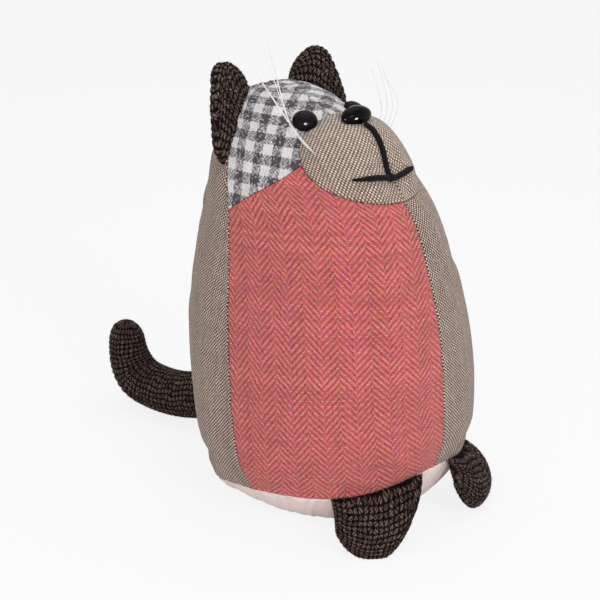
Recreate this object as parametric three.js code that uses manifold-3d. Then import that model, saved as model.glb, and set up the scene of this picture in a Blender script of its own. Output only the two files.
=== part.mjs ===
// Weighted fabric door stop in the shape of a sitting cat.
// Millimetres, +Z up, the cat faces -Y, the origin is on the floor under the middle of the base.
import * as THREE from 'three';
import Module from 'manifold-3d';

// driving sizes
const HEIGHT = 267;            // crown of the head above the floor
const HALF_WIDTH = 89;         // widest half width of the body
const DEPTH = 192;             // front of the belly to the back of the body
const FABRIC = 1.5;            // thickness of one layer of fabric
const SEAM_GAP = 0.3;          // slit between two pieces sewn to each other
const PUFF = 1.5;              // how far a panel swells between its seams
const PULL = 12;               // how far from a seam the swelling starts to level out
const SLUMP = 4.5;             // how far the weight spreads the body above its base seam, at the sides
const SLUMP_ANGLE = 105;       // where that is, degrees from the front
const RING_SAG = 7;            // droop of the lower edge between two seams at the front
const BACK_SAG = 12;           // the same at the back
const PATCH = 0.58;            // flat part of the base as a share of the base seam
const MUZZLE_ANGLE = 48;       // half width of the muzzle as seen from the body axis, degrees
const MUZZLE_LEVEL = 0.70;     // height of the widest part of the muzzle along the front, 0 to 1
const MUZZLE_UP = 0.145;       // reach of the muzzle above its widest part
const MUZZLE_DOWN = 0.09;      // reach of the muzzle below its widest part
const MUZZLE_HEIGHT = 10.5;    // how far the muzzle stands out
const MUZZLE_TILT = 0.45;      // how much fuller the muzzle is under the nose than at the chin
const CHEEK_DENT = 0.60;       // how deep the centre seam divides the muzzle at the chin
const NOSE_DENT = 0;           // the same under the nose
const CHEEK_DENT_WIDTH = 9;    // half width of that dip
const SNOUT = 2.4;             // how much the middle of the muzzle stands out above the mouth
const SNOUT_LEVEL = 0.74;      // where along the front that is
const HEAD_SEAM = 0.57;        // where the head seam meets the side seam, 0 to 1
const FILL_SET = 0.9;          // room between the fabric and the filling
const SAND_LEVEL = 0.24;       // top of the sand bag along the body, 0 to 1
const EAR_HEIGHT = 31;         // how far an ear stands out from its seam
const EAR_THICKNESS = 13.5;    // padded ear
const EAR_SET_BACK = 3.2;      // how far an ear leans back from the side seam
const EAR_LOW = 0.668;         // lower end of the ear root along the side seam
const EAR_HIGH = 0.93;         // upper end of the ear root along the side seam
const EYE_RADIUS = 8;          // domed eye
const EYE_HEIGHT = 6.5;        // how far an eye stands out
const EYE_ANGLE = 35;          // seat of an eye, degrees from the front
const EYE_LEVEL = 0.832;       // seat of an eye along the body
const NOSE_WIDTH = 24;         // domed nose, side to side
const NOSE_LENGTH = 15;        // nose, top to bottom
const NOSE_HEIGHT = 8;         // how far the nose stands out
const NOSE_LEVEL = 0.792;      // seat of the nose along the front
const YARN = 3.4;              // thickness of the mouth yarn
const MOUTH_HALF = 27;         // half width of the mouth
const MOUTH_LEVEL = 0.653;     // level of the mouth along the front
const MOUTH_RISE = 0.005;      // how much higher the ends of the mouth sit
const PAW_INNER = 10;          // inner end of a paw in the base seam, degrees
const PAW_OUTER = 52;          // outer end of a paw in the base seam, degrees
const PAW_THICKNESS = 21;      // padded paw
// how far the toes stand in front of the base seam and how far they sway away from the front seam
const RIGHT_PAW = { reach: 22, sway: 9, taper: 7.5 };
const LEFT_PAW = { reach: 15, sway: -9, taper: 4.5 };
const TAIL_ROOT = 17;          // tail radius at the body
const TAIL_MIDDLE = 15.8;      // tail radius at its lowest place
const TAIL_TIP = 10.5;         // tail radius near its end
const TAIL_LENGTH = 119;       // how far the tail reaches behind the body
const TAIL_RISE = 37;          // how high the tip curls up
const WHISKER = 0.45;          // whisker radius
// where each whisker ends, measured from its root: outwards, backwards, up
const RIGHT_WHISKERS = [
  { out: 10, back: 20, up: 63 },
  { out: 12, back: 19, up: 58 },
  { out: 18, back: 20, up: 62 },
  { out: 27, back: 18, up: 47 },
  { out: 36, back: 20, up: 60 },
];
const LEFT_WHISKERS = [
  { out: 13, back: 20, up: 33 },
  { out: 15, back: 20, up: 39 },
  { out: 17, back: 21, up: 36 },
  { out: 21, back: 22, up: 27 },
];
const WHISKER_BEND = { out: 8, back: 4, up: 11 };
const RIM_STEPS = 7;            // facets along half of the muzzle seam
const SEAM_STEPS = 5;          // facets along the head seam beside the muzzle
const BACK_STEPS = 9;          // facets across a back panel
const CHEST_ROWS = 13;         // facets up the side seam to the head seam
const CROWN_ROWS = 10;         // facets up the side seam above the head seam
const RIGHT = -1;
const LEFT = 1;

// outline of the body: shares of DEPTH, HALF_WIDTH and HEIGHT from the base seam to the crown
const FRONT_Y = [-0.411, -0.443, -0.440, -0.427, -0.401, -0.359, -0.302, -0.219, -0.094, 0.031, 0.177, 0.365];
const FRONT_Z = [0.150, 0.228, 0.333, 0.431, 0.528, 0.625, 0.730, 0.805, 0.880, 0.933, 0.981, 1];
const SIDE_X = [0.899, 0.978, 1, 0.966, 0.910, 0.831, 0.753, 0.674, 0.573, 0.449, 0.270, 0];
const SIDE_Y = [0.010, 0.042, 0.073, 0.104, 0.135, 0.167, 0.203, 0.250, 0.292, 0.323, 0.354, 0.365];
const SIDE_Z = [0.105, 0.176, 0.288, 0.408, 0.521, 0.618, 0.719, 0.816, 0.895, 0.951, 0.989, 1];
const BACK_Y = [0.455, 0.503, 0.528, 0.547, 0.550, 0.534, 0.498, 0.467, 0.440, 0.415, 0.389, 0.365];
const BACK_Z = [0.094, 0.176, 0.288, 0.408, 0.524, 0.637, 0.745, 0.835, 0.903, 0.955, 0.989, 1];
// outline of an ear from its low end to its high end: shares of its root length and of EAR_HEIGHT
const EAR_ALONG = [0, 0.12, 0.30, 0.48, 0.67, 0.85, 0.99, 1.05, 1.05, 1.01];
const EAR_OUT = [0, 0.29, 0.54, 0.76, 0.92, 1, 0.87, 0.55, 0.27, 0];
const FRONT_ROUND = 1.9;       // 2 is an ellipse, less is more pointed
const BACK_ROUND = 2.1;
const ARC = HEIGHT * 1.09;     // length of a seam from the base to the crown

const V = (x, y, z) => new THREE.Vector3(x, y, z);
const DEG = Math.PI / 180;
const clamp = (value, low, high) => Math.min(high, Math.max(low, value));
const mix = (a, b, w) => a + (b - a) * w;
const smooth = (a, b, x) => {
  const w = clamp((x - a) / (b - a), 0, 1);
  return w * w * (3 - 2 * w);
};
const signed = (value, power) => Math.sign(value) * Math.pow(Math.abs(value), power);

// one smooth value along a list of shares
function along(list, t) {
  const last = list.length - 1;
  const u = clamp(t, 0, 1) * last;
  const i = Math.min(Math.floor(u), last - 1);
  const w = u - i;
  const at = (k) => {
    if (k < 0) return 2 * list[0] - list[1];
    if (k > last) return 2 * list[last] - list[last - 1];
    return list[k];
  };
  const p0 = at(i - 1);
  const p1 = at(i);
  const p2 = at(i + 1);
  const p3 = at(i + 2);
  return p1 + 0.5 * w * ((p2 - p0) + w * ((2 * p0 - 5 * p1 + 4 * p2 - p3) + w * (3 * (p1 - p2) + p3 - p0)));
}

// the plain body surface; angle in degrees from the front, positive to the cat's left
function body(angle, t) {
  const side = V(along(SIDE_X, t) * HALF_WIDTH, along(SIDE_Y, t) * DEPTH, along(SIDE_Z, t) * HEIGHT);
  const c = Math.cos(angle * DEG);
  const s = Math.sin(angle * DEG);
  const front = c >= 0;
  const y = (front ? along(FRONT_Y, t) : along(BACK_Y, t)) * DEPTH;
  const z = (front ? along(FRONT_Z, t) : along(BACK_Z, t)) * HEIGHT;
  const power = 2 / (front ? FRONT_ROUND : BACK_ROUND);
  const a = Math.pow(Math.abs(c), power);
  const b = signed(s, power);
  const sag = (front ? RING_SAG : BACK_SAG) * Math.pow(Math.sin(2 * angle * DEG), 2) * Math.exp(-13 * t);
  const turn = Math.abs(((angle + 180) % 360 + 360) % 360 - 180);
  const spread = SLUMP * Math.exp(-Math.pow((turn - SLUMP_ANGLE) / 42, 2)) * Math.exp(-Math.pow((t - 0.03) / 0.13, 2));
  return V(
    b * side.x + spread * s,
    side.y + a * (y - side.y) - spread * c,
    side.z + a * (z - side.z) - sag - 0.9 * spread * Math.exp(-t / 0.06),
  );
}

function surfaceNormal(place, a, b, da, db) {
  const p = place(a + da, b).sub(place(a - da, b));
  const q = place(a, b + db).sub(place(a, b - db));
  return p.cross(q).normalize();
}

function bodyNormal(angle, t) {
  const level = clamp(t, 0.002, 0.992);
  return surfaceNormal(body, angle, level, 0.3, 0.0015);
}

// edge of the muzzle: turn 0 points to the cat's left, 90 points up
function muzzleEdge(turn) {
  const c = Math.cos(turn * DEG);
  const s = Math.sin(turn * DEG);
  const up = s >= 0;
  const power = 2 / (up ? 2 : 2.3);
  return {
    angle: MUZZLE_ANGLE * signed(c, power),
    rise: (up ? MUZZLE_UP : MUZZLE_DOWN) * signed(s, power),
  };
}

function muzzlePlace(share, turn) {
  const edge = muzzleEdge(turn);
  return { angle: edge.angle * share, t: MUZZLE_LEVEL + edge.rise * share };
}

// 0 in the middle of the muzzle, 1 on its seam
function muzzleShare(angle, t) {
  const up = t >= MUZZLE_LEVEL;
  const power = up ? 2 : 2.3;
  const a = Math.pow(Math.abs(angle) / MUZZLE_ANGLE, power);
  const b = Math.pow(Math.abs(t - MUZZLE_LEVEL) / (up ? MUZZLE_UP : MUZZLE_DOWN), power);
  return Math.pow(a + b, 1 / power);
}

// head seam between the chest and the crown piece, outside the muzzle
function headSeam(angle) {
  const share = clamp((Math.abs(angle) - MUZZLE_ANGLE) / (90 - MUZZLE_ANGLE), 0, 1);
  return mix(MUZZLE_LEVEL, HEAD_SEAM, share);
}

const eyeSeat = (side) => ({ angle: side * EYE_ANGLE, t: EYE_LEVEL });
const noseSeat = { angle: 0, t: NOSE_LEVEL };

// level 0 at a seam, 1 away from it
const pulled = (distance) => 1 - Math.exp(-Math.max(distance, 0) / PULL);

// how far the fabric stands out from the plain body
function swell(angle, t) {
  const turn = ((angle + 180) % 360 + 360) % 360 - 180;
  const out = Math.abs(turn);
  const radius = along(SIDE_X, t) * HALF_WIDTH;
  const nearSeam = Math.min(out, Math.abs(out - 90), Math.abs(180 - out)) * DEG * Math.max(radius, 1);
  let lift = PUFF * pulled(nearSeam) * pulled(t * ARC);
  if (out <= 90) {
    const share = muzzleShare(turn, t);
    const seam = headSeam(turn);
    if (share < 1) {
      const x = body(turn, t).x;
      const level = (t - MUZZLE_LEVEL) / (t > MUZZLE_LEVEL ? MUZZLE_UP : MUZZLE_DOWN);
      const dent = mix(CHEEK_DENT, NOSE_DENT, smooth(-0.6, 0.5, level));
      const dip = 1 - dent * Math.exp(-Math.pow(x / CHEEK_DENT_WIDTH, 2));
      lift = MUZZLE_HEIGHT * Math.pow(1 - Math.pow(share, 2.6), 0.58) * (1 + MUZZLE_TILT * level) * dip;
      lift += SNOUT * Math.exp(-Math.pow((t - SNOUT_LEVEL) / 0.04, 2)) * Math.exp(-Math.pow(x / 20, 2));
    } else {
      lift *= pulled((share - 1) * MUZZLE_ANGLE * DEG * Math.max(radius, 1));
      if (out > MUZZLE_ANGLE) lift *= pulled(Math.abs(t - seam) * ARC);
    }
  }
  const here = body(turn, t);
  for (const seat of [eyeSeat(RIGHT), eyeSeat(LEFT)]) {
    const d = here.distanceTo(body(seat.angle, seat.t));
    lift *= mix(0.06, 1, smooth(EYE_RADIUS * 0.75, EYE_RADIUS * 1.5, d));
  }
  const n = body(noseSeat.angle, noseSeat.t);
  const dx = (here.x - n.x) / (NOSE_WIDTH / 2);
  const dy = (here.y - n.y) / (NOSE_LENGTH / 2);
  lift *= mix(0.9, 1, smooth(0.6, 1.7, Math.hypot(dx, dy)));
  return lift;
}

function skin(angle, t) {
  return body(angle, t).addScaledVector(bodyNormal(angle, t), swell(angle, t));
}

function skinNormal(angle, t) {
  const level = clamp(t, 0.004, 0.99);
  return surfaceNormal(skin, angle, level, 0.4, 0.002);
}

// closed mesh from a list of points and a list of triangles
class Builder {
  constructor() {
    this.points = [];
    this.faces = [];
  }

  add(p) {
    this.points.push(p.x, p.y, p.z);
    return this.points.length / 3 - 1;
  }

  tri(a, b, c) {
    if (a !== b && b !== c && a !== c) this.faces.push(a, b, c);
  }

  quad(a, b, c, d) {
    this.tri(a, b, c);
    this.tri(a, c, d);
  }

  geometry() {
    const p = this.points;
    const f = this.faces;
    let volume = 0;
    for (let i = 0; i < f.length; i += 3) {
      const a = V(p[3 * f[i]], p[3 * f[i] + 1], p[3 * f[i] + 2]);
      const b = V(p[3 * f[i + 1]], p[3 * f[i + 1] + 1], p[3 * f[i + 1] + 2]);
      const c = V(p[3 * f[i + 2]], p[3 * f[i + 2] + 1], p[3 * f[i + 2] + 2]);
      volume += a.dot(b.clone().cross(c));
    }
    const order = volume < 0 ? [0, 2, 1] : [0, 1, 2];
    const index = [];
    for (let i = 0; i < f.length; i += 3) index.push(f[i + order[0]], f[i + order[1]], f[i + order[2]]);
    const shape = new THREE.BufferGeometry();
    shape.setAttribute('position', new THREE.Float32BufferAttribute(p, 3));
    shape.setIndex(index);
    return shape;
  }
}

// a layer of fabric over a grid of places; a row whose places are all one point is a tip
function fabricPanel(place, columns, rows, tip) {
  const base = [];
  const normal = [];
  const wall = [];
  for (let j = 0; j <= rows; j++) {
    base.push([]);
    normal.push([]);
    wall.push([]);
    for (let i = 0; i <= columns; i++) {
      const q = place(i / columns, j / rows);
      base[j].push(skin(q.angle, q.t));
      normal[j].push(skinNormal(q.angle, q.t));
      wall[j].push(bodyNormal(q.angle, q.t));
    }
  }
  const step = (from, to, edge, n) => {
    const d = to.clone().sub(from);
    if (edge.lengthSq() > 0) {
      const e = edge.clone().normalize();
      d.addScaledVector(e, -d.dot(e));
    }
    d.addScaledVector(n, -d.dot(n));
    return d.normalize().multiplyScalar(SEAM_GAP / 2);
  };
  const moved = base.map((row) => row.map((p) => p.clone()));
  for (let j = 0; j <= rows; j++) {
    for (let i = 0; i <= columns; i++) {
      const atTip = (tip === 'start' && j === 0) || (tip === 'end' && j === rows);
      if (atTip) continue;
      const n = wall[j][i];
      const up = base[Math.min(j + 1, rows)][i].clone().sub(base[Math.max(j - 1, 0)][i]);
      const across = base[j][Math.min(i + 1, columns)].clone().sub(base[j][Math.max(i - 1, 0)]);
      if (i === 0) moved[j][i].add(step(base[j][0], base[j][1], up, n));
      if (i === columns) moved[j][i].add(step(base[j][columns], base[j][columns - 1], up, n));
      if (j === 0) moved[j][i].add(step(base[0][i], base[1][i], across, n));
      if (j === rows) moved[j][i].add(step(base[rows][i], base[rows - 1][i], across, n));
    }
  }
  if (tip) {
    const j = tip === 'start' ? 0 : rows;
    const k = tip === 'start' ? 1 : rows - 1;
    const middle = V(0, 0, 0);
    for (let i = 0; i <= columns; i++) middle.add(base[k][i]);
    middle.multiplyScalar(1 / (columns + 1));
    const d = middle.sub(base[j][0]).normalize().multiplyScalar(SEAM_GAP * 0.8);
    for (let i = 0; i <= columns; i++) moved[j][i].copy(base[j][0]).add(d);
  }
  const made = new Builder();
  const outer = [];
  const inner = [];
  for (let j = 0; j <= rows; j++) {
    outer.push([]);
    inner.push([]);
    const atTip = (tip === 'start' && j === 0) || (tip === 'end' && j === rows);
    for (let i = 0; i <= columns; i++) {
      if (atTip && i > 0) {
        outer[j].push(outer[j][0]);
        inner[j].push(inner[j][0]);
        continue;
      }
      const edge = i === 0 || i === columns || j === 0 || j === rows;
      const n = edge ? wall[j][i] : normal[j][i];
      outer[j].push(made.add(moved[j][i]));
      inner[j].push(made.add(moved[j][i].clone().addScaledVector(n, -FABRIC)));
    }
  }
  for (let j = 0; j < rows; j++) {
    for (let i = 0; i < columns; i++) {
      made.quad(outer[j][i], outer[j][i + 1], outer[j + 1][i + 1], outer[j + 1][i]);
      made.quad(inner[j][i], inner[j + 1][i], inner[j + 1][i + 1], inner[j][i + 1]);
    }
  }
  for (let j = 0; j < rows; j++) {
    made.quad(outer[j][0], outer[j + 1][0], inner[j + 1][0], inner[j][0]);
    made.quad(outer[j][columns], inner[j][columns], inner[j + 1][columns], outer[j + 1][columns]);
  }
  for (let i = 0; i < columns; i++) {
    made.quad(outer[0][i], inner[0][i], inner[0][i + 1], outer[0][i + 1]);
    made.quad(outer[rows][i], outer[rows][i + 1], inner[rows][i + 1], inner[rows][i]);
  }
  return made.geometry();
}

// upper edge of the chest from the front seam round to the side seam, 0 to 1
function chestTop(u, side) {
  const corner = RIM_STEPS / (RIM_STEPS + SEAM_STEPS);
  if (u < corner - 1e-6) {
    const turn = mix(-90, 0, u / corner);
    const edge = muzzlePlace(1, turn);
    return { angle: side * edge.angle, t: edge.t };
  }
  const angle = mix(MUZZLE_ANGLE, 90, (u - corner) / (1 - corner));
  return { angle: side * angle, t: headSeam(angle) };
}

function chestPanel(side) {
  return fabricPanel((u, v) => {
    const top = chestTop(u, side);
    return { angle: mix(side * 90 * u, top.angle, v), t: top.t * v };
  }, RIM_STEPS + SEAM_STEPS, CHEST_ROWS, null);
}

function backPanel(side) {
  const rows = CHEST_ROWS + CROWN_ROWS;
  return fabricPanel((u, v) => {
    const j = v * rows;
    const t = j < CHEST_ROWS ? HEAD_SEAM * j / CHEST_ROWS : mix(HEAD_SEAM, 1, (j - CHEST_ROWS) / CROWN_ROWS);
    return { angle: side * mix(90, 180, u), t };
  }, BACK_STEPS, rows, 'end');
}

// crown piece: from the top of the muzzle and the head seam up to the crown
function crownPanel(side) {
  const corner = RIM_STEPS / (RIM_STEPS + SEAM_STEPS);
  return fabricPanel((u, v) => {
    let low;
    if (u < corner - 1e-6) {
      low = muzzlePlace(1, mix(90, 0, u / corner));
    } else {
      const angle = mix(MUZZLE_ANGLE, 90, (u - corner) / (1 - corner));
      low = { angle, t: headSeam(angle) };
    }
    const angle = mix(low.angle, 90 * u, smooth(0, 1, v));
    return { angle: side * angle, t: mix(low.t, 1, v) };
  }, RIM_STEPS + SEAM_STEPS, CROWN_ROWS, 'end');
}

function muzzlePanel(side) {
  return fabricPanel((u, v) => {
    const place = muzzlePlace(Math.sin(v * Math.PI / 2) * 0.35 + v * 0.65, mix(-90, 90, u));
    return { angle: side * place.angle, t: place.t };
  }, 2 * RIM_STEPS, 8, 'start');
}

// the base below its seam: share 0 on the seam, 1 on the edge of the flat part, 2 in the middle
function base(angle, share) {
  const ring = body(angle, 0);
  if (share > 1) {
    const reach = PATCH * (2 - share);
    return V(ring.x * reach, ring.y * reach, 0);
  }
  const w = share;
  const knee = 0.82;
  const reach = (1 - w) * (1 - w) + 2 * w * (1 - w) * knee + w * w * PATCH;
  const z = ring.z * ((1 - w) * (1 - w) + 2 * w * (1 - w) * 0.14);
  return V(ring.x * reach, ring.y * reach, z);
}

function baseNormal(angle, share) {
  if (share >= 1) return V(0, 0, -1);
  if (share <= 0) return bodyNormal(angle, 0);
  return surfaceNormal(base, angle, share, 0.4, 0.004).multiplyScalar(-1);
}

const BASE_SHARES = [0, 0.15, 0.35, 0.6, 0.85, 1, 1.5];
const FRONT_STEPS = RIM_STEPS + SEAM_STEPS;
const quarter = (steps, from, to) => Array.from({ length: steps }, (_, i) => mix(from, to, i / steps));
const baseAngles = [
  ...quarter(FRONT_STEPS, 0, 90),
  ...quarter(BACK_STEPS, 90, 180),
  ...quarter(BACK_STEPS, 180, 270),
  ...quarter(FRONT_STEPS, 270, 360),
];
const BASE_COLUMNS = baseAngles.length;

function basePanel() {
  const made = new Builder();
  const layer = (depth) => {
    const rings = BASE_SHARES.map((share, j) => {
      const ids = [];
      for (let i = 0; i < BASE_COLUMNS; i++) {
        const angle = baseAngles[i];
        const p = base(angle, share);
        if (j === 0) {
          const d = base(angle, BASE_SHARES[1]).sub(p);
          const n = bodyNormal(angle, 0);
          d.addScaledVector(n, -d.dot(n)).normalize();
          p.addScaledVector(d, SEAM_GAP / 2);
        }
        ids.push(made.add(p.addScaledVector(baseNormal(angle, share), -depth)));
      }
      return ids;
    });
    const centre = made.add(V(0, 0, depth));
    return { rings, centre };
  };
  const outer = layer(0);
  const inner = layer(FABRIC);
  const weave = (part, flip) => {
    for (let j = 0; j + 1 < part.rings.length; j++) {
      for (let i = 0; i < BASE_COLUMNS; i++) {
        const k = (i + 1) % BASE_COLUMNS;
        const a = part.rings[j];
        const b = part.rings[j + 1];
        if (flip) made.quad(a[i], a[k], b[k], b[i]);
        else made.quad(a[i], b[i], b[k], a[k]);
      }
    }
    const last = part.rings[part.rings.length - 1];
    for (let i = 0; i < BASE_COLUMNS; i++) {
      const k = (i + 1) % BASE_COLUMNS;
      if (flip) made.tri(last[i], last[k], part.centre);
      else made.tri(last[i], part.centre, last[k]);
    }
  };
  weave(outer, false);
  weave(inner, true);
  for (let i = 0; i < BASE_COLUMNS; i++) {
    const k = (i + 1) % BASE_COLUMNS;
    made.quad(outer.rings[0][i], outer.rings[0][k], inner.rings[0][k], inner.rings[0][i]);
  }
  return made.geometry();
}

// closed body from rings of points, each ring a list; ends closed by a middle point
function ringBody(rings, first, last) {
  const made = new Builder();
  const ids = rings.map((ring) => ring.map((p) => made.add(p)));
  const n = ids[0].length;
  const a = made.add(first);
  const b = made.add(last);
  for (let j = 0; j + 1 < ids.length; j++) {
    for (let i = 0; i < n; i++) {
      const k = (i + 1) % n;
      made.quad(ids[j][i], ids[j][k], ids[j + 1][k], ids[j + 1][i]);
    }
  }
  for (let i = 0; i < n; i++) {
    const k = (i + 1) % n;
    made.tri(ids[0][k], ids[0][i], a);
    made.tri(ids[ids.length - 1][i], ids[ids.length - 1][k], b);
  }
  return made.geometry();
}

const inside = (angle, t, depth) => body(angle, t).addScaledVector(bodyNormal(angle, t), -depth);
const FILL_COLUMNS = 32;
const fillAngles = Array.from({ length: FILL_COLUMNS }, (_, i) => 360 * i / FILL_COLUMNS);

function sandBag() {
  const depth = FABRIC + FILL_SET;
  const rings = [];
  for (const share of [1, 0.8, 0.5, 0.2]) {
    rings.push(fillAngles.map((a) => base(a, share).addScaledVector(baseNormal(a, share), -depth)));
  }
  for (const t of [0.03, 0.1, 0.17, SAND_LEVEL]) rings.push(fillAngles.map((a) => inside(a, t, depth)));
  const top = rings[rings.length - 1];
  const middle = top.reduce((s, p) => s.add(p), V(0, 0, 0)).multiplyScalar(1 / top.length);
  rings.push(top.map((p) => p.clone().lerp(middle, 0.25).add(V(0, 0, 3))));
  return ringBody(rings, V(0, 0, depth), middle.clone().add(V(0, 0, 4)));
}

function fibreFilling() {
  const depth = FABRIC + FILL_SET;
  const low = fillAngles.map((a) => inside(a, SAND_LEVEL, depth));
  const middle = low.reduce((s, p) => s.add(p), V(0, 0, 0)).multiplyScalar(1 / low.length);
  const rings = [low.map((p) => p.clone().lerp(middle, 0.25).add(V(0, 0, 4)))];
  for (const t of [0.255, 0.34, 0.42, 0.5, 0.58, 0.66, 0.74, 0.81, 0.87, 0.92, 0.965]) {
    rings.push(fillAngles.map((a) => inside(a, t, depth)));
  }
  return ringBody(rings, middle.clone().add(V(0, 0, 5)), inside(0, 1, depth));
}

// the padding of the muzzle lies between its fabric and the main filling
function muzzleFilling() {
  const shares = [0.84, 0.7, 0.5, 0.28];
  const turns = Array.from({ length: 24 }, (_, i) => 360 * i / 24);
  const under = (q) => body(q.angle, q.t).addScaledVector(bodyNormal(q.angle, q.t), -(FABRIC + FILL_SET - 0.4));
  const over = (q) => skin(q.angle, q.t).addScaledVector(skinNormal(q.angle, q.t), -(FABRIC + 0.8));
  const rings = [];
  for (const share of shares.slice().reverse()) rings.push(turns.map((a) => under(muzzlePlace(share, a))));
  for (const share of shares) rings.push(turns.map((a) => over(muzzlePlace(share, a))));
  return ringBody(rings, under(muzzlePlace(0, 0)), over(muzzlePlace(0, 0)));
}

const wasm = await Module();
wasm.setup();

function solid(shape) {
  const index = shape.index ? Array.from(shape.index.array) : null;
  const array = Float32Array.from(shape.attributes.position.array);
  const triVerts = Uint32Array.from(index ?? Array.from({ length: array.length / 3 }, (_, i) => i));
  const mesh = new wasm.Mesh({ numProp: 3, vertProperties: array, triVerts });
  mesh.merge();
  return new wasm.Manifold(mesh);
}

function fromSolid(made) {
  const mesh = made.getMesh();
  const shape = new THREE.BufferGeometry();
  shape.setAttribute('position', new THREE.Float32BufferAttribute(mesh.vertProperties, 3));
  shape.setIndex(Array.from(mesh.triVerts));
  return shape;
}

// the whole outside of the body, lifted by a gap, for seating what is sewn or glued on
function seatBody(gap) {
  const rings = [];
  const angles = Array.from({ length: 72 }, (_, i) => 5 * i);
  for (let j = 0; j <= 44; j++) {
    const t = 0.985 * j / 44;
    rings.push(angles.map((a) => skin(a, t).addScaledVector(bodyNormal(a, t), gap)));
  }
  const low = [1, 0.7, 0.4, 0.15].map((share) => {
    return angles.map((a) => base(a, share).addScaledVector(baseNormal(a, share), gap));
  });
  return solid(ringBody([...low, ...rings], V(0, 0, -gap), body(0, 1).add(V(0, 0, gap))));
}

const seat = seatBody(SEAM_GAP + 0.15);
const trimSeat = seatBody(SEAM_GAP + 0.8);

function seated(shape, cutter = seat) {
  const parts = solid(shape).subtract(cutter).decompose();
  let best = parts[0];
  for (const p of parts) if (p.volume() > best.volume()) best = p;
  return fromSolid(best);
}

// ear: a padded leaf between its root in the side seam and its rounded outline
function ear(side) {
  const low = body(90, EAR_LOW);
  const high = body(90, EAR_HIGH);
  const length = high.distanceTo(low);
  const run = high.clone().sub(low).normalize();
  const middle = bodyNormal(90, mix(EAR_LOW, EAR_HIGH, 0.5));
  const rise = middle.addScaledVector(run, -middle.dot(run)).normalize();
  const flat = run.clone().cross(rise).normalize();
  const columns = 14;
  const rows = 7;
  const root = (u) => inside(90, mix(EAR_LOW, EAR_HIGH, u), 4);
  const outline = (u) => low.clone()
    .addScaledVector(run, along(EAR_ALONG, u) * length)
    .addScaledVector(rise, along(EAR_OUT, u) * EAR_HEIGHT);
  const made = new Builder();
  const faces = [[], []];
  for (let j = 0; j <= rows; j++) {
    for (const k of [0, 1]) faces[k].push([]);
    for (let i = 0; i <= columns; i++) {
      const u = i / columns;
      const v = j / rows;
      const edge = outline(u);
      const w = Math.sin(v * Math.PI / 2);
      const p = root(u).lerp(edge, w).addScaledVector(flat, EAR_SET_BACK * (0.4 + 0.6 * w));
      const pad = (EAR_THICKNESS / 2 - 0.8) * Math.sqrt(Math.max(0, 1 - Math.pow(v, 2.6)));
      const rim = Math.pow(Math.max(0, 1 - Math.pow(Math.abs(2 * u - 1), 3.2)), 0.5);
      const h = 0.8 + pad * rim;
      for (const k of [0, 1]) {
        const q = p.clone().addScaledVector(flat, k ? -h : h);
        q.x *= side;
        faces[k][j].push(made.add(q));
      }
    }
  }
  for (let j = 0; j < rows; j++) {
    for (let i = 0; i < columns; i++) {
      made.quad(faces[0][j][i], faces[0][j][i + 1], faces[0][j + 1][i + 1], faces[0][j + 1][i]);
      made.quad(faces[1][j][i], faces[1][j + 1][i], faces[1][j + 1][i + 1], faces[1][j][i + 1]);
    }
  }
  const sew = (a, b) => made.quad(faces[0][a[0]][a[1]], faces[1][a[0]][a[1]], faces[1][b[0]][b[1]], faces[0][b[0]][b[1]]);
  for (let i = 0; i < columns; i++) {
    sew([0, i], [0, i + 1]);
    sew([rows, i + 1], [rows, i]);
  }
  for (let j = 0; j < rows; j++) {
    sew([j + 1, 0], [j, 0]);
    sew([j, columns], [j + 1, columns]);
  }
  return seated(made.geometry());
}

// paw: a padded lobe sewn into the base seam, hanging to the floor
function paw(side) {
  const pose = side === RIGHT ? RIGHT_PAW : LEFT_PAW;
  const rows = 9;
  const columns = 12;
  const made = new Builder();
  const faces = [[], []];
  for (let j = 0; j <= rows; j++) {
    for (const k of [0, 1]) faces[k].push([]);
    for (let i = 0; i <= columns; i++) {
      const u = 2 * i / columns - 1;
      const v = j / rows;
      const angle = side * mix(PAW_INNER, PAW_OUTER, (u + 1) / 2);
      const ring = body(angle, 0);
      const out = bodyNormal(angle, 0);
      out.z = 0;
      out.normalize();
      const top = ring.clone().addScaledVector(out, 1);
      top.z -= 0.6;
      const across = body(angle + side, 0).sub(ring).normalize();
      const drop = top.z * (1 - 0.42 * Math.pow(Math.abs(u), 3.4));
      const s = Math.sin(v * Math.PI / 2) * 0.5 + v * 0.5;
      const p = top.clone();
      p.z = top.z - drop * s;
      p.addScaledVector(out, pose.reach * Math.pow(s, 1.3) * (1 - 0.35 * u * u) + 2.5 * Math.sin(Math.PI * v));
      p.addScaledVector(across, pose.sway * Math.pow(s, 1.2) - (u < 0 ? pose.taper : 4.5) * u * s);
      const swellRow = Math.pow(Math.sin(Math.PI * Math.pow(clamp(v, 0, 1), 0.62)), 0.75);
      const h = 1.1 + PAW_THICKNESS / 2 * swellRow * Math.sqrt(Math.max(0, 1 - Math.pow(Math.abs(u), 2.8)));
      const back = Math.min(h, 1.1 + 0.6 * (h - 1.1));
      for (const k of [0, 1]) {
        const q = p.clone().addScaledVector(out, k ? -back : h);
        q.z = Math.max(q.z, 0);
        faces[k][j].push(made.add(q));
      }
    }
  }
  for (let j = 0; j < rows; j++) {
    for (let i = 0; i < columns; i++) {
      made.quad(faces[0][j][i], faces[0][j][i + 1], faces[0][j + 1][i + 1], faces[0][j + 1][i]);
      made.quad(faces[1][j][i], faces[1][j + 1][i], faces[1][j + 1][i + 1], faces[1][j][i + 1]);
    }
  }
  const sew = (a, b) => made.quad(faces[0][a[0]][a[1]], faces[1][a[0]][a[1]], faces[1][b[0]][b[1]], faces[0][b[0]][b[1]]);
  for (let i = 0; i < columns; i++) {
    sew([0, i], [0, i + 1]);
    sew([rows, i + 1], [rows, i]);
  }
  for (let j = 0; j < rows; j++) {
    sew([j + 1, 0], [j, 0]);
    sew([j, columns], [j + 1, columns]);
  }
  return seated(made.geometry());
}

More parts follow.
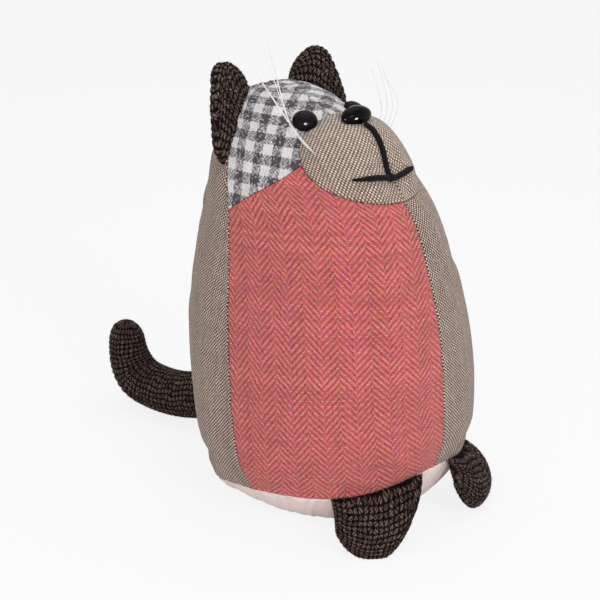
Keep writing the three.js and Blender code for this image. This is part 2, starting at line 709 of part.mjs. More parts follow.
// a round body along a curve; radius is a function of the share along it
function tube(path, radius, sides, rows) {
  const curve = new THREE.CatmullRomCurve3(path);
  const frames = curve.computeFrenetFrames(rows, false);
  const rings = [];
  for (let j = 0; j <= rows; j++) {
    const u = j / rows;
    const p = curve.getPointAt(u);
    const r = radius(u);
    rings.push(Array.from({ length: sides }, (_, i) => {
      const a = 2 * Math.PI * i / sides;
      return p.clone()
        .addScaledVector(frames.normals[j], Math.cos(a) * r)
        .addScaledVector(frames.binormals[j], Math.sin(a) * r);
    }));
  }
  const first = curve.getPointAt(0).addScaledVector(frames.tangents[0], -radius(0) * 0.35);
  const last = curve.getPointAt(1).addScaledVector(frames.tangents[rows], radius(1) * 0.35);
  return ringBody(rings, first, last);
}

function tail() {
  const root = body(180, 0.035);
  const far = (share, x, z) => V(x, root.y + TAIL_LENGTH * share, z);
  const low = TAIL_ROOT + 2.5;
  const path = [
    far(-0.12, 0, low + 25),
    far(0.08, -1, low + 22),
    far(0.3, -4, low + 9.5),
    far(0.43, -6, low + 4),
    far(0.6, -9, low),
    far(0.77, -12, low + 0.5),
    far(0.9, -15, low + 5.5),
    far(0.975, -17, low + 16.5),
    far(1, -18, low + TAIL_RISE),
    far(0.995, -18, low + TAIL_RISE + 10),
  ];
  const radius = (u) => {
    const r = mix(mix(TAIL_ROOT, TAIL_MIDDLE, smooth(0.1, 0.6, u)), TAIL_TIP, smooth(0.72, 0.97, u));
    const end = clamp((1 - u) / 0.085, 0, 1);
    return r * Math.sqrt(Math.max(0.12, 1 - Math.pow(1 - end, 2)));
  };
  return seated(tube(path, radius, 16, 34));
}

// a glossy dome with a flat back; wide across, long up
function dome(angle, t, wide, long, height, rows, sides) {
  const centre = body(angle, t);
  const out = bodyNormal(angle, t);
  const across = V(1, 0, 0);
  across.addScaledVector(out, -across.dot(out)).normalize();
  const up = out.clone().cross(across).normalize();
  const sit = Math.max(swell(angle, t), 0) + SEAM_GAP;
  const rings = [];
  for (let j = 0; j <= rows; j++) {
    const a = Math.PI / 2 * j / (rows + 1);
    const w = j === 0 ? 1 : Math.cos(a);
    const h = j === 0 ? 0 : 1 + (height - 1) * Math.sin(a);
    rings.push(Array.from({ length: sides }, (_, i) => {
      const b = 2 * Math.PI * i / sides;
      return centre.clone()
        .addScaledVector(across, Math.cos(b) * wide * w)
        .addScaledVector(up, Math.sin(b) * long * w)
        .addScaledVector(out, sit + h);
    }));
  }
  return ringBody(rings, centre.clone().addScaledVector(out, sit), centre.clone().addScaledVector(out, sit + height));
}

function eye(side) {
  const seatAt = eyeSeat(side);
  return seated(dome(seatAt.angle, seatAt.t, EYE_RADIUS, EYE_RADIUS, EYE_HEIGHT, 6, 20), trimSeat);
}

function nose() {
  return seated(dome(noseSeat.angle, noseSeat.t, NOSE_WIDTH / 2, NOSE_LENGTH / 2, NOSE_HEIGHT, 6, 20), trimSeat);
}

// a place on the muzzle for a mouth point at a given x
function onMuzzle(x, t) {
  let low = -MUZZLE_ANGLE;
  let high = MUZZLE_ANGLE;
  for (let i = 0; i < 30; i++) {
    const middle = (low + high) / 2;
    if (body(middle, t).x < x) low = middle;
    else high = middle;
  }
  return { angle: (low + high) / 2, t };
}

function yarnOver(q, radius) {
  return skin(q.angle, q.t).addScaledVector(skinNormal(q.angle, q.t), radius + SEAM_GAP);
}

function philtrum() {
  const r = YARN / 2;
  const top = NOSE_LEVEL - 0.034;
  const low = MOUTH_LEVEL + 0.012;
  const path = Array.from({ length: 9 }, (_, i) => yarnOver({ angle: 0, t: mix(top, low, i / 8) }, r * 1.05));
  return tube(path, (u) => r * mix(0.8, 1, smooth(0, 0.2, u)), 8, 14);
}

function mouth() {
  const r = YARN / 2;
  const path = [];
  for (let i = 0; i <= 16; i++) {
    const s = 2 * i / 16 - 1;
    const t = MOUTH_LEVEL + MOUTH_RISE * Math.pow(Math.abs(s), 1.6);
    path.push(yarnOver(onMuzzle(s * MOUTH_HALF, t), r * 1.15));
  }
  const radius = (u) => {
    const s = Math.abs(2 * u - 1);
    return r * (s < 0.08 ? 1.25 : mix(1.1, 0.55, smooth(0.5, 1, s)));
  };
  return tube(path, radius, 8, 28);
}

function whisker(side, reach, order) {
  const q = muzzlePlace(0.85 - 0.032 * order, 159 + 2.8 * order);
  const root = skin(q.angle, q.t).addScaledVector(skinNormal(q.angle, q.t), WHISKER + SEAM_GAP);
  const bend = root.clone().add(V(-WHISKER_BEND.out - order * 0.5, WHISKER_BEND.back, WHISKER_BEND.up + order));
  const tip = root.clone().add(V(-reach.out, reach.back, reach.up));
  const flip = (p) => V(p.x * -side, p.y, p.z);
  return tube([flip(root), flip(bend), flip(tip)], (u) => WHISKER * mix(1, 0.7, u), 5, 9);
}

const group = new THREE.Group();
group.name = 'door_stop';

function put(name, shape, colour) {
  const material = new THREE.MeshStandardMaterial({ color: colour, roughness: 0.85 });
  const mesh = new THREE.Mesh(shape, material);
  mesh.name = name;
  group.add(mesh);
}

put('front_right_panel', chestPanel(RIGHT), 0xc56763);
put('front_left_panel', chestPanel(LEFT), 0x9d837a);
put('back_right_panel', backPanel(RIGHT), 0x8a7768);
put('back_left_panel', backPanel(LEFT), 0x8a7768);
put('crown_right', crownPanel(RIGHT), 0x9b9595);
put('crown_left', crownPanel(LEFT), 0x9b9595);
put('muzzle_right', muzzlePanel(RIGHT), 0xa28c80);
put('muzzle_left', muzzlePanel(LEFT), 0xa28c80);
put('base_panel', basePanel(), 0xebdbd7);
put('right_ear', ear(RIGHT), 0x413633);
put('left_ear', ear(LEFT), 0x413633);
put('right_paw', paw(RIGHT), 0x3e322e);
put('left_paw', paw(LEFT), 0x3e322e);
put('tail', tail(), 0x31231e);
put('right_eye', eye(RIGHT), 0x0a0a0c);
put('left_eye', eye(LEFT), 0x0a0a0c);
put('nose', nose(), 0x0a0a0c);
put('philtrum_yarn', philtrum(), 0x141214);
put('mouth_yarn', mouth(), 0x141214);
RIGHT_WHISKERS.forEach((reach, i) => put('right_whisker_' + (i + 1), whisker(RIGHT, reach, i), 0xf4f4f4));
LEFT_WHISKERS.forEach((reach, i) => put('left_whisker_' + (i + 1), whisker(LEFT, reach, i), 0xf4f4f4));
put('muzzle_filling', muzzleFilling(), 0xf0efe9);
put('fibre_filling', fibreFilling(), 0xf0efe9);
put('sand_bag', sandBag(), 0xcdbd9c);

export default group;
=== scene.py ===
"""Weighted fabric door stop in the shape of a sitting cat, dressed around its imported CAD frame.

Lengths in the shape functions are millimetres and become metres when a mesh is made.
The cat faces -Y, its right side is -X, and the floor is at z = 0.
"""
import math

import bmesh
import bpy
import numpy as np
from mathutils import Matrix, Vector


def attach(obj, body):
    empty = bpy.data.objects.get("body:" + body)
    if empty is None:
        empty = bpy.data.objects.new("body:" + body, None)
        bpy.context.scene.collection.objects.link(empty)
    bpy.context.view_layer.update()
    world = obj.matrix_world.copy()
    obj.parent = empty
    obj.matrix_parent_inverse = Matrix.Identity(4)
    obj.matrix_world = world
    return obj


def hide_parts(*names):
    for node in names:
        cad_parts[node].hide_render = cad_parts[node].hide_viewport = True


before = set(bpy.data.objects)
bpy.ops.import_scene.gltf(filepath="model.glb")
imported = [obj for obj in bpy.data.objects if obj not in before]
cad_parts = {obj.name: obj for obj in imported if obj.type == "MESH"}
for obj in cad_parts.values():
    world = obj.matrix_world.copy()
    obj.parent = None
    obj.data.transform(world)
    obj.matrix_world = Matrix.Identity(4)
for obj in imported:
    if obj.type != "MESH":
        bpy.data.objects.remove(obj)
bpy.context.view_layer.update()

bl_info = {
    "name": "Weighted fabric door stop",
    "version": (1, 0, 0),
    "blender": (4, 5, 0),
    "location": "3D View > Sidebar > Door stop",
    "description": "Sews the patchwork cat door stop piece by piece around its CAD frame",
    "category": "Object",
}

# Sides of the cat, as the sign of x
RIGHT = -1
LEFT = 1

# Driving sizes, in millimetres and degrees, named as in the part's source
HEIGHT = 267.0
HALF_WIDTH = 89.0
DEPTH = 192.0
PUFF = 1.5
PULL = 12.0
SLUMP = 4.5
SLUMP_ANGLE = 105.0
RING_SAG = 7.0
BACK_SAG = 12.0
PATCH = 0.58
MUZZLE_ANGLE = 48.0
MUZZLE_LEVEL = 0.70
MUZZLE_UP = 0.145
MUZZLE_DOWN = 0.09
MUZZLE_HEIGHT = 10.5
MUZZLE_TILT = 0.45
CHEEK_DENT = 0.60
NOSE_DENT = 0.0
CHEEK_DENT_WIDTH = 9.0
SNOUT = 2.4
SNOUT_LEVEL = 0.74
HEAD_SEAM = 0.57
SEAM_GAP = 0.3
EAR_HEIGHT = 31.0
EAR_THICKNESS = 13.5
EAR_SET_BACK = 4.0
EAR_LOW = 0.668
EAR_HIGH = 0.93
EYE_RADIUS = 8.0
EYE_HEIGHT = 6.5
EYE_SEAT = {RIGHT: (33.5, 0.827), LEFT: (40.5, 0.816)}  # angle and level of each eye
NOSE_WIDTH = 24.0
NOSE_LENGTH = 15.0
NOSE_HEIGHT = 8.0
NOSE_LEVEL = 0.792
NOSE_LOWER = 0.76             # height of the nose below its middle as a share of that above
DOME_ROWS = 22
DOME_SIDES = 64
MOUTH_RIGHT = -25.5
MOUTH_LEFT = 14.0
MOUTH_LEVEL = 0.658
KNOT_SHIFT = -3.3            # the yarn wanders this far to the cat's right on its way down
GROOVE = 1.25                # how deep the yarn is pulled in
YARN_PLIES = (3, 22, 12)     # plies, length of one twist, sides of a ply
PAW_INNER = 10.0
PAW_OUTER = 52.0
PAW_THICKNESS = 21.0
# Paws: reach of the toes, sway away from the front seam, inner taper, outer taper,
# and how much the inner corner of the toes is cut off
PAW_POSE = {RIGHT: (20.0, 11.5, 10.0, 15.5, 0.9), LEFT: (12.0, -15.0, 7.0, 4.5, 0.7)}
TAIL_ROOT = 17.0
TAIL_MIDDLE = 16.6
TAIL_TIP = 12.4
TAIL_LENGTH = 119.0
TAIL_RISE = 37.0
RIM_SHARE = 7 / 12          # share of the upper chest edge that lies on the muzzle seam
FRONT_ROUND = 1.9
BACK_ROUND = 2.1
ARC = HEIGHT * 1.09
# Whiskers: how far each tip lies out, back and up from its root
RIGHT_WHISKERS = ((10, 20, 63), (12, 19, 58), (18, 20, 62), (27, 18, 47), (36, 20, 60))
LEFT_WHISKERS = ((13, 20, 33), (15, 20, 39), (17, 21, 36), (21, 22, 27))
WHISKER_BEND = (5.5, 4, 11)   # where the first whisker bends, aside, back and up from its root
WHISKER_FAN = (1.9, 0, 1.4)   # how much further the bend of each next one lies
WHISKER_ROOT = (0.955, 161)   # share and turn on the muzzle of the first root
WHISKER_STEP = (-0.03, 2.8)   # from one root to the next

# Outline of the body from the base seam to the crown, as shares of depth, half width and height
FRONT_Y = (-0.411, -0.443, -0.440, -0.427, -0.401, -0.359, -0.302, -0.219, -0.094, 0.031, 0.177, 0.365)
FRONT_Z = (0.150, 0.228, 0.333, 0.431, 0.528, 0.625, 0.730, 0.805, 0.880, 0.933, 0.981, 1)
SIDE_X = (0.899, 0.978, 1, 0.966, 0.910, 0.831, 0.753, 0.674, 0.573, 0.449, 0.270, 0)
SIDE_Y = (0.010, 0.042, 0.073, 0.104, 0.135, 0.167, 0.203, 0.250, 0.292, 0.323, 0.354, 0.365)
SIDE_Z = (0.105, 0.176, 0.288, 0.408, 0.521, 0.618, 0.719, 0.816, 0.895, 0.951, 0.989, 1)
BACK_Y = (0.455, 0.503, 0.528, 0.547, 0.550, 0.534, 0.498, 0.467, 0.440, 0.415, 0.389, 0.365)
BACK_Z = (0.094, 0.176, 0.288, 0.408, 0.524, 0.637, 0.745, 0.835, 0.903, 0.955, 0.989, 1)
EAR_ALONG = (0, 0.12, 0.30, 0.48, 0.67, 0.85, 0.99, 1.05, 1.05, 1.01)
EAR_OUT = (0, 0.27, 0.50, 0.71, 0.90, 1.02, 0.92, 0.60, 0.30, 0)

# Sewing and stuffing, in millimetres
FACET = 1.5                 # size of a facet on the body panels
FINE_FACET = 0.75           # size of a facet on the tweed pieces, whose threads are modelled
EDGE_STEPS = (0.0, 0.45, 1.0, 1.7, 2.6)  # rows of facets beside a seam
COARSE_FACET = 4.6          # size of a facet in the cloth run
TUCK = 1.8                  # how far a seam edge is turned inwards
PANEL_THICKNESS = 0.8
BASE_THICKNESS = 0.6
STITCH_DEPTH = 1.1          # how deep the stitches lie in a seam
STITCH_LENGTH = 1.9
STITCH_THICKNESS = 0.28
FIBRE_THICKNESS = 0.06
FIBRE_DENSITY = 260000.0    # loose fibres on a square metre of tweed
EAR_CLOTH = (72, 38)        # rough width and height of the tweed of an ear
PAW_CLOTH = (62, 48)        # and of a paw
TAIL_GRID = (210, 128)      # facets along the tail and round it
TWEED_BLOCK = (3.0, 3.7)    # distance from one lump of the tweed to the next, across and along
HERRINGBONE_ARM = 10.0      # threads from one turn of the twill to the next
CHECK_THREADS = 12.0        # threads in one band of the gingham
STUFF_CAP = 2.4             # the most a point of the body moves in the cloth run
STUFF_START = 0.9           # how far inside its place the body cloth starts
STUFF_FRAMES = 20

MM = 0.001

# Kinds of node used again and again
MATH = "ShaderNodeMath"
MIX = "ShaderNodeMix"
NOISE = "ShaderNodeTexNoise"
WHITE_NOISE = "ShaderNodeTexWhiteNoise"
RANGE = "ShaderNodeMapRange"
VECTOR = "ShaderNodeCombineXYZ"
BUMP = "ShaderNodeBump"
PRINCIPLED = "ShaderNodeBsdfPrincipled"
OUTPUT = "ShaderNodeOutputMaterial"


def linear(code):
    """An sRGB hex colour as linear RGBA."""
    value = [int(code[k:k + 2], 16) / 255 for k in (0, 2, 4)]
    return tuple(c / 12.92 if c <= 0.04045 else ((c + 0.055) / 1.055) ** 2.4 for c in value) + (1.0,)


def colour_property(name, text, code):
    """A colour that a user may change, with its sRGB hex default."""
    return bpy.props.FloatVectorProperty(
        name=name, description=text, subtype="COLOR", size=4, min=0, max=1, default=linear(code))


def length_property(name, text, millimetres):
    """A length that a user may change, in metres in the panel."""
    return bpy.props.FloatProperty(
        name=name, description=text, default=millimetres * MM, min=0, unit="LENGTH", precision=5)


class SewingSizes(bpy.types.PropertyGroup):
    """Sizes of the sewing and of the trim."""

    seam_round: length_property("Seam roundness", "Radius at which a panel turns into its seam", 1.5)
    pucker: length_property("Pucker", "Height of the small puckers beside a seam", 0.32)
    base_pucker: length_property("Base pucker", "Height of the gathers of the base beside its seam", 1.9)
    tweed_relief: length_property("Tweed relief", "Height of the thick tweed threads", 0.9)
    yarn: length_property("Yarn thickness", "Thickness of the mouth yarn", 3.4)
    whisker: length_property("Whisker radius", "Radius of a whisker at its root", 0.24)
    stitch_pitch: length_property("Stitch pitch", "Distance from one seam stitch to the next", 3.2)
    fuzz_length: length_property("Fuzz length", "Length of a loose wool fibre", 1.7)
    cloth_pressure: bpy.props.FloatProperty(
        name="Stuffing pressure", description="Pressure of the filling in the cloth run",
        default=4.0, min=0)
    fuzz_seed: bpy.props.IntProperty(name="Fuzz seed", description="Seed of the loose fibres", default=7)


class ClothColours(bpy.types.PropertyGroup):
    """Thread colours of the patchwork."""

    coral_warp: colour_property("Coral thread", "Coral red thread of the herringbone", "C94A58")
    coral_fleck: colour_property("Magenta thread", "Magenta thread among the coral ones", "C23C74")
    coral_weft: colour_property("Tan thread", "Tan thread of the herringbone", "D08671")
    taupe_light: colour_property("Taupe light thread", "Light thread of the taupe hopsack", "DBC3B4")
    taupe_dark: colour_property("Taupe dark thread", "Dark thread of the taupe hopsack", "49382F")
    beige_light: colour_property("Muzzle light thread", "Light thread of the muzzle cloth", "E2D0C0")
    beige_dark: colour_property("Muzzle dark thread", "Dark thread of the muzzle cloth", "7E6759")
    check_light: colour_property("Check light thread", "Off-white thread of the gingham", "EAE6E6")
    check_dark: colour_property("Check dark thread", "Charcoal thread of the gingham", "4B484F")
    base_cotton: colour_property("Base cotton", "Pale cotton of the base", "FAE8E3")
    # painted shade: the almost black gap colour of the tweed stands for the shade between the lumps; the
    # light thread colour shows in full only in the painted highlights of the plies
    tweed_light: colour_property("Tweed thread", "Grey-brown thread of the tweed", "9A837A")
    tweed_painted_shade: colour_property("Tweed gap", "Almost black thread between the lumps", "120A08")
    yarn_black: colour_property("Yarn", "Black yarn of the mouth", "0B090B")
    gloss_black: colour_property("Eyes and nose", "Black of the moulded eyes and nose", "030203")


def sizes():
    """The sewing sizes of this scene."""
    return bpy.context.scene.door_stop_sizes


def colours():
    """The thread colours of this scene."""
    return bpy.context.scene.door_stop_colours


# Shape of the body, as in the part's source


def mix(a, b, w):
    return a + (b - a) * w


def smooth(a, b, x):
    """0 at a and 1 at b, with a soft step between."""
    w = np.clip((x - a) / (b - a), 0, 1)
    return w * w * (3 - 2 * w)


def signed(value, power):
    """A power of the size of a value, with its sign."""
    return np.sign(value) * np.abs(value) ** power


def unit(vectors):
    return vectors / np.maximum(np.linalg.norm(vectors, axis=-1, keepdims=True), 1e-9)


def dot(a, b):
    return np.sum(a * b, axis=-1, keepdims=True)


def between(p0, p1, p2, p3, w):
    """A smooth value at share w from p1 to p2, with their neighbours."""
    bend = (2 * p0 - 5 * p1 + 4 * p2 - p3) + w * (3 * (p1 - p2) + p3 - p0)
    return p1 + 0.5 * w * ((p2 - p0) + w * bend)


def along(shares, level):
    """One smooth value along a list of shares."""
    last = len(shares) - 1
    ends = np.concatenate(([2 * shares[0] - shares[1]], shares, [2 * shares[-1] - shares[-2]]))
    u = np.clip(level, 0, 1) * last
    i = np.minimum(np.floor(u).astype(int), last - 1)
    w = u - i
    return between(*(ends[i + k] for k in range(4)), w)


def body(angle, level):
    """Plain body surface; angle in degrees from the front, positive to the cat's left."""
    angle, level = np.broadcast_arrays(np.asarray(angle, float), np.asarray(level, float))
    turn = np.radians(angle)
    c, s = np.cos(turn), np.sin(turn)
    front = c >= 0
    side = [along(SIDE_X, level) * HALF_WIDTH, along(SIDE_Y, level) * DEPTH, along(SIDE_Z, level) * HEIGHT]
    y = np.where(front, along(FRONT_Y, level), along(BACK_Y, level)) * DEPTH
    z = np.where(front, along(FRONT_Z, level), along(BACK_Z, level)) * HEIGHT
    power = np.where(front, 2 / FRONT_ROUND, 2 / BACK_ROUND)
    a = np.abs(c) ** power
    b = signed(s, power)
    sag = np.where(front, RING_SAG, BACK_SAG) * np.sin(2 * turn) ** 2 * np.exp(-13 * level)
    off_front = np.abs((angle + 180) % 360 - 180)
    spread = SLUMP * np.exp(-((off_front - SLUMP_ANGLE) / 42) ** 2) * np.exp(-((level - 0.03) / 0.13) ** 2)
    return np.stack([
        b * side[0] + spread * s,
        side[1] + a * (y - side[1]) - spread * c,
        side[2] + a * (z - side[2]) - sag - 0.9 * spread * np.exp(-level / 0.06)], axis=-1)


def surface_normal(place, a, b, da, db):
    """Normal of a surface from small steps along its two coordinates."""
    p = place(a + da, b) - place(a - da, b)
    q = place(a, b + db) - place(a, b - db)
    return unit(np.cross(p, q))


def body_normal(angle, level):
    return surface_normal(body, angle, np.clip(level, 0.002, 0.992), 0.3, 0.0015)


def muzzle_place(share, turn):
    """Angle and level on the muzzle; share 1 is its seam, turn 90 points up."""
    c, s = np.cos(np.radians(turn)), np.sin(np.radians(turn))
    up = s >= 0
    power = np.where(up, 1.0, 2 / 2.3)
    angle = MUZZLE_ANGLE * signed(c, power)
    rise = np.where(up, MUZZLE_UP, MUZZLE_DOWN) * signed(s, power)
    return angle * share, MUZZLE_LEVEL + rise * share


def muzzle_share(angle, level):
    """0 in the middle of the muzzle, 1 on its seam."""
    up = level >= MUZZLE_LEVEL
    power = np.where(up, 2.0, 2.3)
    a = (np.abs(angle) / MUZZLE_ANGLE) ** power
    b = (np.abs(level - MUZZLE_LEVEL) / np.where(up, MUZZLE_UP, MUZZLE_DOWN)) ** power
    return (a + b) ** (1 / power)


def head_seam(angle):
    """Level of the seam between the chest and the crown."""
    share = np.clip((np.abs(angle) - MUZZLE_ANGLE) / (90 - MUZZLE_ANGLE), 0, 1)
    return mix(MUZZLE_LEVEL, HEAD_SEAM, share)


def pulled(distance):
    """Share of the full puff at a distance from a seam or a fixed place."""
    return 1 - np.exp(-np.maximum(distance, 0) / PULL)


def seat_of_eye(side):
    angle, level = EYE_SEAT[side]
    return body(side * angle, level)


def swell(angle, level):
    """How far the stuffed fabric stands out from the plain body."""
    turn = (np.asarray(angle, float) + 180) % 360 - 180
    turn, level = np.broadcast_arrays(turn, np.asarray(level, float))
    out = np.abs(turn)
    radius = np.maximum(along(SIDE_X, level) * HALF_WIDTH, 1)
    near_seam = np.minimum(np.minimum(out, np.abs(out - 90)), np.abs(180 - out)) * np.pi / 180 * radius
    lift = PUFF * pulled(near_seam) * pulled(level * ARC)
    here = body(turn, level)
    share = muzzle_share(turn, level)
    rise = (level - MUZZLE_LEVEL) / np.where(level > MUZZLE_LEVEL, MUZZLE_UP, MUZZLE_DOWN)
    dent = mix(CHEEK_DENT, NOSE_DENT, smooth(-0.6, 0.5, rise))
    dip = 1 - dent * np.exp(-(here[..., 0] / CHEEK_DENT_WIDTH) ** 2)
    dome = np.maximum(1 - np.minimum(share, 1) ** 2.6, 0) ** 0.58
    snout = SNOUT * np.exp(-((level - SNOUT_LEVEL) / 0.04) ** 2) * np.exp(-(here[..., 0] / 20) ** 2)
    muzzle = MUZZLE_HEIGHT * dome * (1 + MUZZLE_TILT * rise) * dip + snout
    beside = lift * pulled((share - 1) * MUZZLE_ANGLE * np.pi / 180 * radius)
    beside = np.where(out > MUZZLE_ANGLE, beside * pulled(np.abs(level - head_seam(turn)) * ARC), beside)
    lift = np.where(out <= 90, np.where(share < 1, muzzle, beside), lift)
    for side in (RIGHT, LEFT):
        gap = np.linalg.norm(here - seat_of_eye(side), axis=-1)
        lift = lift * mix(0.06, 1, smooth(EYE_RADIUS * 0.75, EYE_RADIUS * 1.5, gap))
    offset = here - body(0.0, NOSE_LEVEL)
    far = np.hypot(offset[..., 0] / (NOSE_WIDTH / 2), offset[..., 1] / (NOSE_LENGTH / 2))
    return lift * mix(0.9, 1, smooth(0.6, 1.7, far))


def skin(angle, level):
    """Surface of the stuffed body."""
    return body(angle, level) + body_normal(angle, level) * swell(angle, level)[..., None]


def skin_normal(angle, level):
    return surface_normal(skin, angle, np.clip(level, 0.004, 0.99), 0.4, 0.002)


def yarn_shift(level):
    """How far the yarn under the nose lies from the middle plane."""
    return KNOT_SHIFT * smooth(0.722, MOUTH_LEVEL, level)


def yarn_groove(angle, level):
    """How deep the yarn of the mouth is pulled into the muzzle."""
    x = body(angle, level)[..., 0]
    off = x - yarn_shift(level)
    middle = GROOVE * np.exp(-(off / 4.5) ** 2) * smooth(MOUTH_LEVEL - 0.03, MOUTH_LEVEL - 0.005, level)
    middle = middle * smooth(NOSE_LEVEL + 0.01, NOSE_LEVEL - 0.03, level)
    ends = smooth(MOUTH_RIGHT - 3, MOUTH_RIGHT + 6, x) * smooth(MOUTH_LEFT + 3, MOUTH_LEFT - 6, x)
    across = GROOVE * np.exp(-((level - MOUTH_LEVEL) * ARC / 4) ** 2) * ends
    return np.maximum(middle, across)


# Cut of the eight body panels: each turns a place on the pattern piece into an angle and a level


def chest_cut(side, u, v):
    rim_angle, rim_level = muzzle_place(1, mix(-90, 0, np.minimum(u / RIM_SHARE, 1)))
    seam_angle = mix(MUZZLE_ANGLE, 90, np.maximum(u - RIM_SHARE, 0) / (1 - RIM_SHARE))
    top_angle = np.where(u < RIM_SHARE, rim_angle, seam_angle)
    top_level = np.where(u < RIM_SHARE, rim_level, head_seam(seam_angle))
    return side * mix(90 * u, top_angle, v), top_level * v


def crown_cut(side, u, v):
    rim_angle, rim_level = muzzle_place(1, mix(90, 0, np.minimum(u / RIM_SHARE, 1)))
    seam_angle = mix(MUZZLE_ANGLE, 90, np.maximum(u - RIM_SHARE, 0) / (1 - RIM_SHARE))
    low_angle = np.where(u < RIM_SHARE, rim_angle, seam_angle)
    low_level = np.where(u < RIM_SHARE, rim_level, head_seam(seam_angle))
    return side * mix(low_angle, 90 * u, smooth(0, 1, v)), mix(low_level, 1, v)


def back_cut(side, u, v):
    return side * mix(90, 180, u), v + 0 * u


def muzzle_cut(side, u, v):
    angle, level = muzzle_place(np.sin(v * np.pi / 2) * 0.35 + v * 0.65, mix(-90, 90, u))
    return side * angle, level


# Each body panel: how it is cut, its side, its cloth, its rough width and height,
# the angle of the line its threads follow, and how far its upright threads lean
PANELS = {
    "front_right_panel": (chest_cut, RIGHT, "coral_herringbone", 140, 175, -45, 0),
    "front_left_panel": (chest_cut, LEFT, "taupe_hopsack", 140, 175, 45, 0),
    "back_right_panel": (back_cut, RIGHT, "taupe_hopsack", 140, 265, -135, 0),
    "back_left_panel": (back_cut, LEFT, "taupe_hopsack", 140, 265, 135, 0),
    "crown_right": (crown_cut, RIGHT, "grey_gingham", 120, 105, -60, -0.36),
    "crown_left": (crown_cut, LEFT, "grey_gingham", 120, 105, 60, 0.36),
    "muzzle_right": (muzzle_cut, RIGHT, "beige_hopsack", 110, 60, 0, 0),
    "muzzle_left": (muzzle_cut, LEFT, "beige_hopsack", 110, 60, 0, 0),
}


def cloth_map(middle, angle, level):
    """Place on the flat cloth in millimetres: arc across from the middle line, arc up along it."""
    levels = np.linspace(0, 1, 161)
    turns = np.linspace(middle - 140, middle + 140, 281)
    rows = body(turns[:, None], levels[None, :])
    steps = np.linalg.norm(np.diff(rows, axis=0), axis=-1)
    across = np.concatenate([np.zeros((1, len(levels))), np.cumsum(steps, axis=0)])
    across = across - across[140]
    climb = np.linalg.norm(np.diff(rows[140], axis=0), axis=-1)
    up = np.concatenate([[0], np.cumsum(climb)])
    a = np.clip(angle - middle + 140, 0, 279.999)
    t = np.clip(level, 0, 1) * 159.999
    i, j = np.floor(a).astype(int), np.floor(t).astype(int)
    fa, ft = a - i, t - j
    low = mix(across[i, j], across[i + 1, j], fa)
    high = mix(across[i, j + 1], across[i + 1, j + 1], fa)
    return np.stack([mix(low, high, ft), np.interp(level, levels, up)], axis=-1)


def facet_shares(width, facet, corner=None):
    """Shares from 0 to 1 with narrow rows beside both seams."""
    edge = [e / width for e in EDGE_STEPS]
    count = max(4, int(width / facet))
    inner = np.linspace(edge[-1], 1 - edge[-1], count)[1:-1]
    if corner is not None:
        inner[np.argmin(np.abs(inner - corner))] = corner
    return np.concatenate([edge, inner, 1 - np.array(edge[::-1])])


def edge_distance(points, edge):
    """Distance from every point to the nearest point of a closed edge, and how far along it that is."""
    step = np.linalg.norm(np.diff(edge, axis=0), axis=-1)
    run = np.concatenate([[0], np.cumsum(step)])
    flat = points.reshape(-1, 3)
    near = np.empty(len(flat))
    where = np.empty(len(flat))
    for first in range(0, len(flat), 2000):
        part = flat[first:first + 2000]
        gap = np.linalg.norm(part[:, None, :] - edge[None, :, :], axis=-1)
        best = np.argmin(gap, axis=1)
        near[first:first + 2000] = gap[np.arange(len(part)), best]
        where[first:first + 2000] = run[best]
    return near.reshape(points.shape[:-1]), where.reshape(points.shape[:-1])


def rim_of(grid):
    """The outer rim of a grid of points, once round."""
    return np.concatenate([grid[0], grid[:, -1], grid[-1][::-1], grid[:, 0][::-1]])


def gathers(run, seed, length):
    """Uneven small waves along a seam, from -1 to 1."""
    a = np.sin(2 * np.pi * run / length + seed)
    b = np.sin(2 * np.pi * run / (length * 0.63) + 2.1 * seed + 1.3 * np.sin(run / (length * 2.7)))
    c = np.sin(2 * np.pi * run / (length * 2.3) + 0.7 * seed)
    return (a + 0.8 * b + 0.9 * c) / 2.7


def lumps(points, seed):
    """Broad uneven stuffing, from -1 to 1."""
    x, y, z = points[..., 0], points[..., 1], points[..., 2]
    a = np.sin(x / 13 + seed) * np.sin(z / 17 + 1.7 * seed)
    b = np.sin((x + z) / 9.5 + 2.3 * seed) * np.sin((y - z) / 14 + seed)
    c = np.sin(z / 27 + y / 31 + 0.6 * seed)
    return (a + 0.6 * b + c) / 2.6


# Meshes


def finish_piece(piece, node_names, material):
    """What every piece gets: its material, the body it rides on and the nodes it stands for."""
    piece.data.materials.clear()
    piece.data.materials.append(material)
    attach(piece, "root")
    if node_names:
        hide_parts(*node_names)
    return piece


def welded(points, steps):
    """The first of each set of points in one place, and the set of every point; steps to a millimetre."""
    keys = np.round(points * steps).astype(np.int64)
    _, first, index = np.unique(keys, axis=0, return_index=True, return_inverse=True)
    return first, index.ravel()


def mesh_object(name, points, faces, cloth=None):
    """A smooth mesh from points in millimetres; cloth is the flat place of every point."""
    points = np.asarray(points, float).reshape(-1, 3)
    first, index = welded(points, 200)
    loops = []
    corners = []
    for face in faces:
        ring = []
        own = []
        for k in face:
            if index[k] not in ring:
                ring.append(int(index[k]))
                own.append(k)
        if len(ring) > 2:
            loops.append(ring)
            corners.extend(own)
    mesh = bpy.data.meshes.new(name)
    mesh.from_pydata([tuple(p) for p in points[first] * MM], [], loops)
    if cloth is not None:
        layer = mesh.uv_layers.new(name="cloth")
        layer.data.foreach_set("uv", np.asarray(cloth, float).reshape(-1, 2)[corners].ravel())
    mesh.shade_smooth()
    mesh.update()
    made = bpy.data.objects.new(name, mesh)
    bpy.context.scene.collection.objects.link(made)
    return made


def grid_faces(rows, columns, round_columns=False, offset=0, flip=False):
    """Four-sided faces of a grid of rows by columns; the columns may close into a ring."""
    faces = []
    width = columns if round_columns else columns - 1
    for j in range(rows - 1):
        for i in range(width):
            k = (i + 1) % columns
            a, b = offset + j * columns + i, offset + j * columns + k
            c, d = offset + (j + 1) * columns + k, offset + (j + 1) * columns + i
            faces.append((d, c, b, a) if flip else (a, b, c, d))
    return faces


